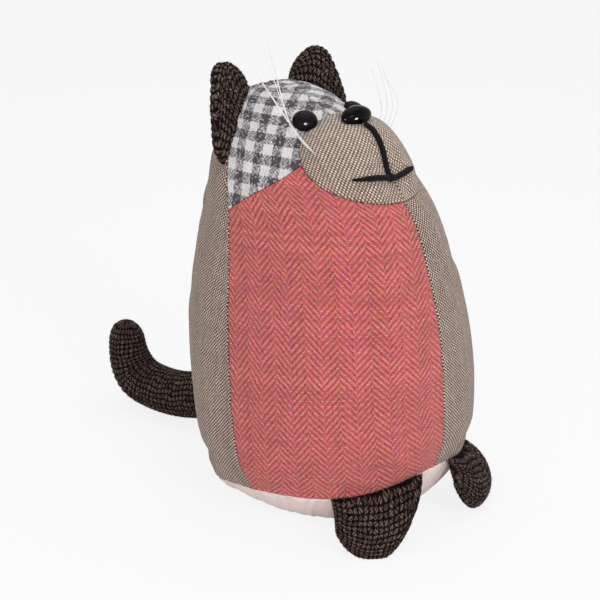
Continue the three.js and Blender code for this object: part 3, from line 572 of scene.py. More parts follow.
def turned_out(points, normals, rows, columns, round_columns=False):
    """True when the plain order of a grid's faces points against the given normals."""
    p = points.reshape(rows, columns, 3)
    n = normals.reshape(rows, columns, 3)
    j, i = rows // 2, columns // 2
    face = np.cross(p[j, i + 1] - p[j, i], p[j + 1, i] - p[j, i])
    return float(np.dot(face, n[j, i])) < 0


def resampled(grid, u, v):
    """Smooth values of a regular grid at shares u across and v up."""
    def spline(values, share):
        last = len(values) - 1
        x = np.clip(share, 0, 1) * last
        i = np.minimum(np.floor(x).astype(int), last - 1)
        w = (x - i)[:, None, None]
        held = np.concatenate([values[:1], values, values[-1:]])
        return between(*(held[i + k] for k in range(4)), w)
    rows = spline(grid, v)
    return spline(rows.swapaxes(0, 1), u).swapaxes(0, 1)


# Ears, paws and tail


def ear_shape(side, u, v, face):
    """A padded leaf from its root in the side seam to its rounded rim; face is 1 or -1."""
    low, high = body(90.0, EAR_LOW), body(90.0, EAR_HIGH)
    length = np.linalg.norm(high - low)
    run = (high - low) / length
    middle = body_normal(90.0, mix(EAR_LOW, EAR_HIGH, 0.5))
    rise = unit(middle - run * dot(middle, run))
    flat = unit(np.cross(run, rise))
    level = mix(EAR_LOW, EAR_HIGH, u)
    root = body(90.0, level) - body_normal(90.0, level) * 4
    outwards = rise * (along(EAR_OUT, u) * EAR_HEIGHT)[..., None]
    rim = low + run * (along(EAR_ALONG, u) * length)[..., None] + outwards
    climb = np.sin(v * np.pi / 2)[..., None]
    middle_line = root + (rim - root) * climb + flat * EAR_SET_BACK * (0.4 + 0.6 * climb)
    pad = np.sqrt(np.maximum(0, 1 - v ** 2.6))
    ends = np.maximum(0, 1 - np.abs(2 * u - 1) ** 3.2) ** 0.5
    thick = (EAR_THICKNESS / 2) * pad * ends
    points = middle_line + flat * (face * thick)[..., None]
    points[..., 0] *= side
    cloth = np.stack([u * length * face + 150, v * EAR_HEIGHT * along(EAR_OUT, u) ** 0.5], axis=-1)
    return points, cloth


def paw_shape(side, u, v, face):
    """A padded lobe that hangs from the base seam to the floor; u from -1 to 1, face 1 in front."""
    angle = side * mix(PAW_INNER, PAW_OUTER, (u + 1) / 2)
    ring = body(angle, 0.0)
    out = body_normal(angle, 0.0) * np.array([1, 1, 0])
    out = unit(out)
    top = ring + out * 1.7 + np.array([0, 0, 1.5])
    far, sway, inner, outer, cut = PAW_POSE[side]
    across = unit(body(angle + side, 0.0) - ring)
    drop = top[..., 2] * (1 - np.where(u < 0, cut, 0.45) * np.abs(u) ** np.where(u < 0, 2.2, 3.0))
    s = np.sin(v * np.pi / 2) * 0.5 + v * 0.5
    points = top.copy()
    points[..., 2] = top[..., 2] - drop * s
    reach = far * s ** 1.3 * (1 - 0.35 * u * u) + 2.5 * np.sin(np.pi * v)
    aside = sway * s ** 1.2 - np.where(u < 0, inner, outer) * u * s
    points = points + out * reach[..., None] + across * aside[..., None]
    row = np.maximum(np.sin(np.pi * v ** 0.62), 0) ** 0.75
    thick = PAW_THICKNESS / 2 * row * np.sqrt(np.maximum(0, 1 - np.abs(u) ** 2.8))
    points = points + out * (np.where(face > 0, 1.0, -0.6) * thick)[..., None]
    length = np.linalg.norm(body(side * PAW_OUTER, 0.0) - body(side * PAW_INNER, 0.0))
    cloth = np.stack([u * length / 2 * face + 150, v * 46], axis=-1)
    return points, cloth


def curve_points(path, count):
    """Points at equal distances along a centripetal curve through the path."""
    path = np.asarray(path, float)
    ends = np.concatenate([[2 * path[0] - path[1]], path, [2 * path[-1] - path[-2]]])
    dense = []
    for k in range(len(path) - 1):
        p0, p1, p2, p3 = ends[k:k + 4]
        d0, d1, d2 = (max(np.linalg.norm(b - a) ** 0.5, 1e-4) for a, b in ((p0, p1), (p1, p2), (p2, p3)))
        t1 = ((p1 - p0) / d0 - (p2 - p0) / (d0 + d1) + (p2 - p1) / d1) * d1
        t2 = ((p2 - p1) / d1 - (p3 - p1) / (d1 + d2) + (p3 - p2) / d2) * d1
        w = np.linspace(0, 1, 41)[:-1, None]
        square = -3 * p1 + 3 * p2 - 2 * t1 - t2
        cube = 2 * p1 - 2 * p2 + t1 + t2
        dense.append(p1 + w * t1 + w ** 2 * square + w ** 3 * cube)
    dense.append(path[-1:])
    dense = np.concatenate(dense)
    run = np.concatenate([[0], np.cumsum(np.linalg.norm(np.diff(dense, axis=0), axis=-1))])
    stops = np.linspace(0, run[-1], count)
    return np.stack([np.interp(stops, run, dense[:, k]) for k in range(3)], axis=-1), run[-1]


def frames_along(points):
    """Two directions across a curve at each of its points, turning as little as they can."""
    tangent = unit(np.gradient(points, axis=0))
    first = np.cross(tangent[0], [0, 0, 1.0])
    if np.linalg.norm(first) < 1e-3:
        first = np.cross(tangent[0], [1.0, 0, 0])
    normal = [unit(first)]
    for t in tangent[1:]:
        n = normal[-1] - t * np.dot(normal[-1], t)
        normal.append(unit(n))
    normal = np.array(normal)
    return normal, np.cross(tangent, normal)


def tube_points(points, radius, sides, turn=None):
    """Rings of points round a curve; radius has one value for each point of the curve."""
    normal, binormal = frames_along(points)
    a = np.linspace(0, 2 * np.pi, sides, endpoint=False)[None, :]
    if turn is not None:
        a = a + turn[:, None]
    ring = normal[:, None, :] * np.cos(a)[..., None] + binormal[:, None, :] * np.sin(a)[..., None]
    return points[:, None, :] + ring * np.asarray(radius)[:, None, None], ring


def tail_path():
    """Middle line of the tail, along the floor and up at its tip."""
    root = body(180.0, 0.035)
    low = TAIL_ROOT + 2.5
    stops = (
        (-0.12, 0, low + 25), (0.08, -1, low + 22), (0.3, -4, low + 9.5), (0.43, -6, low + 4),
        (0.6, -9, low), (0.77, -12, low), (0.9, -15, low + 4.5), (0.968, -17, low + 16.5),
        (0.988, -18, low + TAIL_RISE), (0.98, -18, low + TAIL_RISE + 10.5))
    return [(x, root[1] + TAIL_LENGTH * share, z) for share, x, z in stops]


def tail_shape(rows, sides):
    points, length = curve_points(tail_path(), rows)
    u = np.linspace(0, 1, rows)
    radius = mix(mix(TAIL_ROOT, TAIL_MIDDLE, smooth(0.1, 0.6, u)), TAIL_TIP, smooth(0.72, 0.97, u))
    end = np.clip((1 - u) / 0.085, 0, 1)
    radius = radius * np.sqrt(np.maximum(0.0, 1 - (1 - end) ** 2))
    radius = np.maximum(radius, 0.02)
    rings, out = tube_points(points, radius, sides)
    around = np.linspace(0, 2 * np.pi * TAIL_TIP, sides, endpoint=False)
    cloth = np.stack(np.broadcast_arrays(around[None, :], (u * length)[:, None]), axis=-1)
    return rings, out, cloth


def tweed_wander(cloth):
    """Flat place on the tweed, pushed about as the thick uneven threads are."""
    x, y = cloth[..., 0], cloth[..., 1]
    push_x = 0.38 * np.sin(y / 2.9 + 1.4 * np.sin(x / 7.3)) + 0.25 * np.sin(x / 2.1 + y / 4.3 + 1.0)
    push_y = 0.45 * np.sin(x / 3.3 + 1.2 * np.sin(y / 6.1) + 2.0) + 0.25 * np.sin(y / 1.9 - x / 5.2)
    return np.stack([x + push_x, y + push_y], axis=-1)


def tweed_height(cloth):
    """Relief of the thick tweed: 0 in the gaps to 1 on a lump."""
    count = cloth / np.array(TWEED_BLOCK)
    part = count - np.floor(count)
    bulge = 1 - (2 * part - 1) ** 2
    return smooth(0.05, 0.75, bulge[..., 0] * bulge[..., 1])


# Cloth run


def coarse_pieces():
    """Every stuffed piece as a coarse grid, with the points that its seams hold."""
    pieces = {}
    for name, (cut, side, _, width, height, _, _) in PANELS.items():
        columns, rows = int(width / COARSE_FACET) + 1, int(height / COARSE_FACET) + 1
        u, v = np.meshgrid(np.linspace(0, 1, columns), np.linspace(0, 1, rows))
        angle, level = cut(side, u, v)
        held = (u == 0) | (u == 1) | (v == 0) | (v == 1)
        points = skin(angle, level)
        normal = skin_normal(angle, level)
        for seat, reach in trim_seats():
            held |= np.linalg.norm(points - seat, axis=-1) < reach
        start = np.where(held[..., None], points, points - normal * STUFF_START)
        pieces[name] = (start, points, held, turned_out(points, normal, rows, columns), False)
    for side, name in ((RIGHT, "right"), (LEFT, "left")):
        for face in (1, -1):
            u, v = np.meshgrid(np.linspace(0, 1, 19), np.linspace(0, 1, 10))
            points, _ = ear_shape(side, u, v, face)
            pieces[f"{name}_ear_{face}"] = (points, points, v < 0.3, face * side < 0, False)
            u, v = np.meshgrid(np.linspace(-1, 1, 17), np.linspace(0, 1, 12))
            points, _ = paw_shape(side, u, v, face)
            pieces[f"{name}_paw_{face}"] = (points, points, v < 0.12, face * side > 0, False)
    rings, _, _ = tail_shape(44, 22)
    held = np.zeros(rings.shape[:2], bool)
    held[:9] = True
    pieces["tail"] = (rings, rings, held, False, True)
    return pieces


def trim_seats():
    """Places where something is fixed on the head, and how far round them the cloth is held."""
    seats = [(seat_of_eye(side), EYE_RADIUS + 4) for side in (RIGHT, LEFT)]
    seats.append((body(0.0, NOSE_LEVEL) + body_normal(0.0, NOSE_LEVEL) * 7, 15))
    for level in np.linspace(MOUTH_LEVEL, NOSE_LEVEL, 8):
        seats.append((skin(0.0, level), 6))
    for x in np.linspace(MOUTH_RIGHT, MOUTH_LEFT, 9):
        seats.append((skin(on_muzzle(x, MOUTH_LEVEL), MOUTH_LEVEL), 6.5))
    return seats


def on_muzzle(x, level):
    """Angle at which the body is x millimetres from its middle plane."""
    low, high = -MUZZLE_ANGLE, MUZZLE_ANGLE
    for _ in range(30):
        middle = (low + high) / 2
        if body(middle, level)[..., 0] < x:
            low = middle
        else:
            high = middle
    return (low + high) / 2


def stuffed_moves():
    """Fills every soft piece in one cloth run and returns how far each coarse grid moves."""
    pieces = coarse_pieces()
    points = np.concatenate([start.reshape(-1, 3) for start, _, _, _, _ in pieces.values()])
    held = np.concatenate([held.ravel() for _, _, held, _, _ in pieces.values()])
    first, index = welded(points, 50)
    faces = []
    offset = 0
    for start, _, _, flip, closed in pieces.values():
        rows, columns = start.shape[:2]
        for face in grid_faces(rows, columns, closed, offset, flip):
            ring = list(dict.fromkeys(int(index[k]) for k in face))
            if len(ring) > 2:
                faces.append(ring)
        offset += rows * columns
    mesh = bpy.data.meshes.new("stuffing_run")
    mesh.from_pydata([tuple(p) for p in points[first] * MM], [], faces)
    cloth_object = bpy.data.objects.new("stuffing_run", mesh)
    bpy.context.scene.collection.objects.link(cloth_object)
    pins = cloth_object.vertex_groups.new(name="held")
    pinned = np.zeros(len(first), bool)
    np.logical_or.at(pinned, index, held)
    pins.add([int(k) for k in np.flatnonzero(pinned)], 1.0, "REPLACE")
    modifier = cloth_object.modifiers.new("filling", "CLOTH")
    settings = modifier.settings
    settings.quality = 6
    settings.mass = 0.3
    settings.tension_stiffness = 15
    settings.compression_stiffness = 15
    settings.shear_stiffness = 8
    settings.bending_stiffness = 0.6
    settings.use_pressure = True
    settings.uniform_pressure_force = sizes().cloth_pressure
    settings.shrink_min = -0.012
    settings.vertex_group_mass = "held"
    settings.pin_stiffness = 1
    settings.effector_weights.gravity = 0
    modifier.point_cache.frame_start = 1
    modifier.point_cache.frame_end = STUFF_FRAMES
    scene = bpy.context.scene
    for step in range(1, STUFF_FRAMES + 1):
        scene.frame_set(step)
    solved = cloth_object.evaluated_get(bpy.context.evaluated_depsgraph_get())
    end = np.empty(len(solved.data.vertices) * 3)
    solved.data.vertices.foreach_get("co", end)
    end = end.reshape(-1, 3)[index] / MM
    bpy.data.objects.remove(cloth_object)
    scene.frame_set(1)
    moves = {}
    offset = 0
    for name, (start, place, _, _, _) in pieces.items():
        count = start.shape[0] * start.shape[1]
        move = end[offset:offset + count].reshape(start.shape) - place
        size = np.linalg.norm(move, axis=-1, keepdims=True)
        moves[name] = move * np.minimum(1, STUFF_CAP / np.maximum(size, 1e-6))
        offset += count
    return moves


MOVES = {}


def moves():
    """The result of the cloth run, made once."""
    if not MOVES:
        MOVES.update(stuffed_moves())
    return MOVES


def seam_roll(near):
    """How far the cloth has turned down into a seam at a distance from it."""
    bend = sizes().seam_round / MM
    return bend - np.sqrt(np.maximum(bend ** 2 - (bend - np.minimum(near, bend)) ** 2, 0))


def give_thickness(piece, thickness):
    """Cloth thickness inwards from the outer face, kept as a live modifier."""
    shell = piece.modifiers.new("cloth thickness", "SOLIDIFY")
    shell.thickness = thickness * MM
    shell.offset = -1
    return piece


def sewn_panel(name):
    """One body panel: stuffed, rolled into its seams and puckered beside them."""
    cut, side, _, width, height, middle, lean = PANELS[name]
    corner = RIM_SHARE if cut in (chest_cut, crown_cut) else None
    us, vs = facet_shares(width, FACET, corner), facet_shares(height, FACET)
    u, v = np.meshgrid(us, vs)
    angle, level = cut(side, u, v)
    plain = skin(angle, level)
    normal = skin_normal(angle, level)
    wall = body_normal(angle, level)
    points = plain + resampled(moves()[name], us, vs)
    near, run = edge_distance(plain, rim_of(plain))
    seed = 1 + sorted(PANELS).index(name)
    ripple = gathers(run, seed, 8.5) * np.exp(-near / 6.5) * sizes().pucker / MM
    wave = lumps(plain, seed) * 0.55 * smooth(3, 20, near)
    if cut is muzzle_cut:
        points = points - normal * yarn_groove(angle, level)[..., None]
    calm = np.ones(near.shape)
    for seat, reach in trim_seats():
        calm = np.minimum(calm, smooth(reach, reach + 10, np.linalg.norm(plain - seat, axis=-1)))
    points = points + normal * ((ripple + wave) * calm)[..., None]
    edge = smooth(sizes().seam_round / MM * 2, 0, near)[..., None]
    points = points - unit(mix(normal, wall, edge)) * seam_roll(near)[..., None]
    cloth = cloth_map(middle, angle, level)
    cloth[..., 0] += lean * cloth[..., 1]
    wide = np.pad(points, ((1, 1), (1, 1), (0, 0)), mode="edge")
    walls = np.pad(wall, ((1, 1), (1, 1), (0, 0)), mode="edge")
    outer = np.ones(wide.shape[:2], bool)
    outer[1:-1, 1:-1] = False
    wide[outer] -= walls[outer] * TUCK
    cloth = np.pad(cloth, ((1, 1), (1, 1), (0, 0)), mode="edge")
    rows, columns = wide.shape[:2]
    normals = np.pad(normal, ((1, 1), (1, 1), (0, 0)), mode="edge")
    flip = turned_out(wide, normals, rows, columns)
    faces = grid_faces(rows, columns, flip=flip)
    piece = mesh_object(name.replace("_panel", "") + "_cloth", wide, faces, cloth)
    return give_thickness(piece, PANEL_THICKNESS)


def base_points(angle, share):
    """The base under its seam: share 0 on the seam, 1 on the edge of the flat part, 2 in the middle."""
    ring = body(angle, 0.0)
    w = np.minimum(share, 1)
    reach = np.where(share > 1, PATCH * (2 - share), (1 - w) ** 2 + 2 * w * (1 - w) * 0.82 + w * w * PATCH)
    z = np.where(share > 1, 0, ring[..., 2] * ((1 - w) ** 2 + 2 * w * (1 - w) * 0.14))
    return np.stack([ring[..., 0] * reach, ring[..., 1] * reach, z], axis=-1)


def base_cloth():
    """The pale base: gathered into its seam, slack below it and flat on the floor."""
    beside_seam = [0, 0.012, 0.028, 0.05, 0.08]
    shares = np.concatenate([beside_seam, np.linspace(0.11, 1, 34), np.linspace(1.06, 1.97, 15)])
    angles = np.linspace(0, 360, 320, endpoint=False)
    a, s = np.meshgrid(angles, shares)
    points = base_points(a, s)
    low = surface_normal(base_points, a, np.clip(s, 0.01, 0.99), 0.4, 0.004)
    centre = np.array([0, 10, 40.0])
    low = np.where(dot(low, points - centre) < 0, -low, low)
    normal = np.where(s[..., None] > 1, np.array([0, 0, -1.0]), low)
    seam = body(a, 0.0)
    near = np.linalg.norm(points - seam, axis=-1)
    run = a / 360 * 500
    height = sizes().base_pucker / MM
    fold = gathers(run + near * 0.25, 3, 10) * np.exp(-near / 22) * smooth(0, 3, near) * height
    slack = lumps(points, 5) * 0.8 * smooth(4, 18, near) * smooth(1.0, 0.7, s)
    points = points + normal * (fold + slack - seam_roll(near))[..., None]
    points[..., 2] = np.maximum(points[..., 2], np.where(s > 0.95, 0.0, 0.05))
    first = points[0] - body_normal(a[0], 0.0) * TUCK
    points = np.concatenate([first[None], points, np.zeros((1, len(angles), 3))])
    cloth = np.concatenate([seam[:1, :, :2], points[1:, :, :2]])
    rows, columns = points.shape[:2]
    normals = np.concatenate([normal[:1], normal, normal[-1:]])
    flip = turned_out(points, normals, rows, columns)
    piece = mesh_object("base_cloth", points, grid_faces(rows, columns, True, flip=flip), cloth)
    return give_thickness(piece, BASE_THICKNESS)


def grid_normals(points, closed=False):
    """Normals of a grid of points from its neighbours."""
    if closed:
        across = np.roll(points, -1, axis=1) - np.roll(points, 1, axis=1)
    else:
        across = np.gradient(points, axis=1)
    return unit(np.cross(across, np.gradient(points, axis=0)))


def two_faced(name, side, shape, coarse, us, vs):
    """A padded leaf or lobe of tweed from its two faces, sewn together along the rim."""
    all_points, all_cloth, faces = [], [], []
    offset = 0
    for face in (1, -1):
        u, v = np.meshgrid(us, vs)
        points, cloth = shape(side, u, v, face)
        span = (us - us[0]) / (us[-1] - us[0])
        points = points + resampled(moves()[f"{coarse}_{face}"], span, vs)
        normal = grid_normals(points)
        cloth = tweed_wander(cloth)
        other, _ = shape(side, u, v, -face)
        flip = float(np.sum(normal * (points - other))) < 0
        if flip:
            normal = -normal
        rim = np.minimum(np.minimum(span, 1 - span)[None, :], (1 - vs)[:, None])
        relief = (tweed_height(cloth) - 0.5) * sizes().tweed_relief / MM
        relief = relief * smooth(0.0, 0.04, rim)
        points = points + normal * relief[..., None]
        rows, columns = points.shape[:2]
        faces += grid_faces(rows, columns, offset=offset, flip=flip)
        all_points.append(points.reshape(-1, 3))
        all_cloth.append(cloth.reshape(-1, 2))
        offset += rows * columns
    return mesh_object(name, np.concatenate(all_points), faces, np.concatenate(all_cloth))


# Materials


def add(tree, kind, inputs=(), **settings):
    """Adds a node, sets it and fills its inputs from values, sockets or other nodes' first outputs."""
    made = tree.nodes.new(kind)
    for name, value in settings.items():
        setattr(made, name, value)
    fill_inputs(tree, made, inputs)
    return made


def fill_inputs(tree, made, inputs):
    """Fills a node's inputs, given as a list or by key."""
    pairs = inputs.items() if isinstance(inputs, dict) else enumerate(inputs)
    for key, value in pairs:
        if isinstance(value, bpy.types.Node):
            value = value.outputs[0]
        if isinstance(value, bpy.types.NodeSocket):
            tree.links.new(value, made.inputs[key])
        elif value is not None:
            made.inputs[key].default_value = value


def empty_material(name):
    """A material with an empty tree, and the tree."""
    material = bpy.data.materials.new(name)
    material.use_nodes = True
    material.node_tree.nodes.clear()
    return material, material.node_tree


def plainly_seen(tree):
    """1 for what the camera sees, also through or mirrored in a piece."""
    path = add(tree, "ShaderNodeLightPath").outputs
    seen = add(tree, MATH, [path["Is Camera Ray"], path["Is Transmission Ray"]], operation="MAXIMUM")
    return add(tree, MATH, [seen, path["Is Glossy Ray"]], operation="MAXIMUM")


def group_of(name, inputs, outputs, kind="ShaderNodeTree"):
    """An empty node group with named inputs and outputs."""
    group = bpy.data.node_groups.new(name, kind)
    for label, socket, value in inputs:
        made = group.interface.new_socket(label, in_out="INPUT", socket_type=socket)
        if value is not None:
            made.default_value = value
    for label, socket in outputs:
        group.interface.new_socket(label, in_out="OUTPUT", socket_type=socket)
    return group, group.nodes.new("NodeGroupInput"), group.nodes.new("NodeGroupOutput")


def thread_grid():
    """Group: the numbers of the warp and the weft thread at a place on the cloth, and their bulge."""
    if "thread_grid" in bpy.data.node_groups:
        return bpy.data.node_groups["thread_grid"]
    number, vector = "NodeSocketFloat", "NodeSocketVector"
    group, given, result = group_of(
        "thread_grid",
        [("Warp pitch", number, 1.0), ("Weft pitch", number, 1.0), ("Wander", number, 0.2)],
        [("Warp", number), ("Weft", number), ("Warp bulge", number), ("Weft bulge", number),
         ("Across", number), ("Along", number), ("Cloth", vector)])
    place = add(group, "ShaderNodeUVMap", uv_map="cloth")
    noise = add(group, NOISE, {"Vector": place, "Scale": 0.22, "Detail": 2.0})
    centred = add(group, "ShaderNodeVectorMath", [noise.outputs["Color"], (0.5, 0.5, 0.5)],
                  operation="SUBTRACT")
    pushed = add(group, "ShaderNodeVectorMath", {0: centred, "Scale": given.outputs["Wander"]},
                 operation="SCALE")
    moved = add(group, "ShaderNodeVectorMath", [place, pushed], operation="ADD")
    parts = add(group, "ShaderNodeSeparateXYZ", [moved])
    for axis, index, raw in ((0, "Warp", "Across"), (1, "Weft", "Along")):
        pitch, bulge = index + " pitch", index + " bulge"
        count = add(group, MATH, [parts.outputs[axis], given.outputs[pitch]], operation="DIVIDE")
        whole = add(group, MATH, [count], operation="FLOOR")
        part = add(group, MATH, [count, whole], operation="SUBTRACT")
        centre = add(group, MATH, [part, 2.0, -1.0], operation="MULTIPLY_ADD")
        square = add(group, MATH, [centre, centre], operation="MULTIPLY")
        round_ = add(group, MATH, [1.0, square], operation="SUBTRACT")
        group.links.new(whole.outputs[0], result.inputs[index])
        group.links.new(round_.outputs[0], result.inputs[bulge])
        group.links.new(count.outputs[0], result.inputs[raw])
    group.links.new(moved.outputs[0], result.inputs["Cloth"])
    return group


def woven_face():
    """Group: colour and height of the thread on top, with uneven dye and painted shade in the gaps between
    threads.
    """
    if "woven_face" in bpy.data.node_groups:
        return bpy.data.node_groups["woven_face"]
    number, colour = "NodeSocketFloat", "NodeSocketColor"
    group, given, result = group_of(
        "woven_face",
        [("Warp on top", number, 1.0), ("Warp colour", colour, (1, 1, 1, 1)),
         ("Weft colour", colour, (1, 1, 1, 1)), ("Warp", number, 0.0), ("Weft", number, 0.0),
         ("Warp bulge", number, 1.0), ("Weft bulge", number, 1.0), ("Bead", number, 0.5),
         ("Uneven", number, 0.2), ("Gap shade", number, 0.45), ("Cloth", "NodeSocketVector", None)],
        [("Colour", colour), ("Height", number)])
    take = given.outputs
    top = take["Warp on top"]
    across = add(group, MIX, {0: top, 2: take["Weft bulge"], 3: take["Warp bulge"]})
    length = add(group, MIX, {0: top, 2: take["Warp bulge"], 3: take["Weft bulge"]})
    bead = add(group, MIX, {0: take["Bead"], 2: 1.0, 3: length})
    height = add(group, MATH, [across, bead], operation="MULTIPLY")
    thread = add(group, MIX, {0: top, 6: take["Weft colour"], 7: take["Warp colour"]}, data_type="RGBA")
    order = add(group, MIX, {0: top, 2: take["Weft"], 3: take["Warp"]})
    shifted = add(group, MATH, [top, 517.0, order], operation="MULTIPLY_ADD")
    dye = add(group, WHITE_NOISE, {"W": shifted}, noise_dimensions="1D")
    cell = add(group, VECTOR, [take["Warp"], take["Weft"], 0.0])
    fleck = add(group, WHITE_NOISE, {"Vector": cell}, noise_dimensions="2D")
    blotch = add(group, NOISE, {"Vector": take["Cloth"], "Scale": 0.06, "Detail": 3.0})
    both = add(group, MATH, [dye, fleck], operation="ADD")
    three = add(group, MATH, [blotch, both], operation="ADD")
    centred = add(group, MATH, [three, 1.5], operation="SUBTRACT")
    factor = add(group, MATH, [centred, take["Uneven"], 1.0], operation="MULTIPLY_ADD")
    # painted shade: the colour darkens towards Gap shade where the threads sink into the gaps between them
    gap = add(group, RANGE, {0: height, 1: 0.0, 2: 0.55, 3: take["Gap shade"], 4: 1.0},
              interpolation_type="SMOOTHSTEP")
    light = add(group, MATH, [factor, gap.outputs[0]], operation="MULTIPLY")
    shaded = add(group, "ShaderNodeVectorMath", {0: thread.outputs[2], "Scale": light}, operation="SCALE")
    group.links.new(shaded.outputs[0], result.inputs["Colour"])
    group.links.new(height.outputs[0], result.inputs["Height"])
    return group


def cloth_material(name, warp_pitch, weft_pitch, wander, bead, uneven, gap_shade, relief, pattern,
                   roughness=0.92, sheen=0.15, fibre=0.12):
    """A woven cloth; pattern returns warp-on-top, warp colour and weft colour from the thread grid."""
    found = bpy.data.materials.get(name)
    if found:
        return found
    material, tree = empty_material(name)
    grid = add(tree, "ShaderNodeGroup", node_tree=thread_grid())
    fill_inputs(tree, grid, {"Warp pitch": warp_pitch, "Weft pitch": weft_pitch, "Wander": wander})
    top, warp, weft = pattern(tree, grid.outputs)
    face = add(tree, "ShaderNodeGroup", node_tree=woven_face())
    fill_inputs(tree, face, {
        "Warp on top": top, "Warp colour": warp, "Weft colour": weft, "Bead": bead, "Uneven": uneven,
        "Gap shade": gap_shade})
    fill_inputs(tree, face, {
        key: grid.outputs[key] for key in ("Warp", "Weft", "Warp bulge", "Weft bulge", "Cloth")})
    hairs = add(tree, NOISE, {"Vector": grid.outputs["Cloth"], "Scale": 2.2, "Detail": 3.0})
    fuzz = add(tree, MATH, [hairs, fibre, face.outputs["Height"]], operation="MULTIPLY_ADD")
    bump = add(tree, BUMP, {"Strength": 0.6, "Distance": relief * MM, "Height": fuzz})
    shader = add(tree, PRINCIPLED, {
        "Base Color": face.outputs["Colour"], "Roughness": roughness, "Sheen Weight": sheen,
        "Sheen Roughness": 0.6, "Specular IOR Level": 0.2, "Normal": bump})
    add(tree, OUTPUT, [shader])
    return material


def plain_over(tree, grid):
    """1 where the warp lies on top in a plain weave."""
    both = add(tree, MATH, [grid["Warp"], grid["Weft"]], operation="ADD")
    return add(tree, MATH, [both, 2.0], operation="FLOORED_MODULO")


def herringbone_pattern(tree, grid):
    """Two-and-two twill whose direction turns after every arm."""
    arm = add(tree, MATH, [grid["Warp"], HERRINGBONE_ARM], operation="DIVIDE")
    whole = add(tree, MATH, [arm], operation="FLOOR")
    odd = add(tree, MATH, [whole, 2.0], operation="FLOORED_MODULO")
    inside = add(tree, MATH, [grid["Warp"], HERRINGBONE_ARM], operation="FLOORED_MODULO")
    back = add(tree, MATH, [HERRINGBONE_ARM + 1, inside], operation="SUBTRACT")
    step = add(tree, MIX, {0: odd, 2: inside, 3: back})
    count = add(tree, MATH, [step, grid["Weft"]], operation="ADD")
    place = add(tree, MATH, [count, 4.0], operation="FLOORED_MODULO")
    top = add(tree, MATH, [place, 1.5], operation="LESS_THAN")
    band = add(tree, WHITE_NOISE, {"W": grid["Warp"]}, noise_dimensions="1D")
    cell = add(tree, VECTOR, [grid["Warp"], grid["Weft"], 3.0])
    stroke = add(tree, WHITE_NOISE, {"Vector": cell}, noise_dimensions="3D")
    fleck = add(tree, NOISE, {"Vector": grid["Cloth"], "Scale": 0.11, "Detail": 3.0})
    threads = add(tree, MATH, [band, 0.3, fleck], operation="MULTIPLY_ADD")
    sum_ = add(tree, MATH, [stroke, 0.45, threads], operation="MULTIPLY_ADD")
    pink = add(tree, RANGE, {0: sum_, 1: 0.88, 2: 1.16, 3: 0.0, 4: 0.85})
    tones = {6: tuple(colours().coral_warp), 7: tuple(colours().coral_fleck)}
    warp = add(tree, MIX, {0: pink.outputs[0], **tones}, data_type="RGBA")
    return top, warp.outputs[2], tuple(colours().coral_weft)


def taupe_pattern(tree, grid):
    """Plain weave of light and dark threads, whose dots read as fine slanting rows."""
    return plain_over(tree, grid), tuple(colours().taupe_light), tuple(colours().taupe_dark)


def beige_pattern(tree, grid):
    """Plain weave of cream and brown threads, whose dots read as staggered rows."""
    return plain_over(tree, grid), tuple(colours().beige_light), tuple(colours().beige_dark)


def gingham_pattern(tree, grid):
    """Bands of light and dark threads both ways; the mixed squares show both, and their light threads carry
    painted shade where they cross a dark band.
    """
    pair_x = add(tree, MATH, [grid["Warp"], 0.5], operation="MULTIPLY")
    pair_y = add(tree, MATH, [grid["Weft"], 0.5], operation="MULTIPLY")
    x = add(tree, MATH, [pair_x], operation="FLOOR")
    y = add(tree, MATH, [pair_y], operation="FLOOR")
    both = add(tree, MATH, [x, y], operation="ADD")
    top = add(tree, MATH, [both, 2.0], operation="FLOORED_MODULO")
    pair = add(tree, VECTOR, [x, y, 5.0])
    pick = add(tree, WHITE_NOISE, {"Vector": pair}, noise_dimensions="3D")
    worn = add(tree, RANGE, {0: pick, 1: 0.72, 2: 1.0, 3: 0.0, 4: 0.55})
    dark = []
    for key in ("Warp", "Weft"):
        band = add(tree, MATH, [grid[key], CHECK_THREADS], operation="DIVIDE")
        whole = add(tree, MATH, [band], operation="FLOOR")
        dark.append(add(tree, MATH, [whole, 2.0], operation="FLOORED_MODULO"))
    made = []
    for own, other in (dark, dark[::-1]):
        # painted shade: a light thread is darkened where it crosses a dark band
        shaded = add(tree, MATH, [other, 0.32, own], operation="MULTIPLY_ADD", use_clamp=True)
        share = add(tree, MATH, [shaded, worn.outputs[0]], operation="SUBTRACT", use_clamp=True)
        tones = {6: tuple(colours().check_light), 7: tuple(colours().check_dark)}
        made.append(add(tree, MIX, {0: share, **tones}, data_type="RGBA").outputs[2])
    astray = add(tree, MATH, [pick, 0.14], operation="LESS_THAN")
    gap = add(tree, MATH, [top, astray], operation="SUBTRACT")
    final = add(tree, MATH, [gap], operation="ABSOLUTE")
    soft = add(tree, MATH, [final, 0.6, 0.2], operation="MULTIPLY_ADD")
    return soft, made[0], made[1]


def cotton_pattern(tree, grid):
    """Plain weave of one pale thread."""
    return plain_over(tree, grid), tuple(colours().base_cotton), tuple(colours().base_cotton)


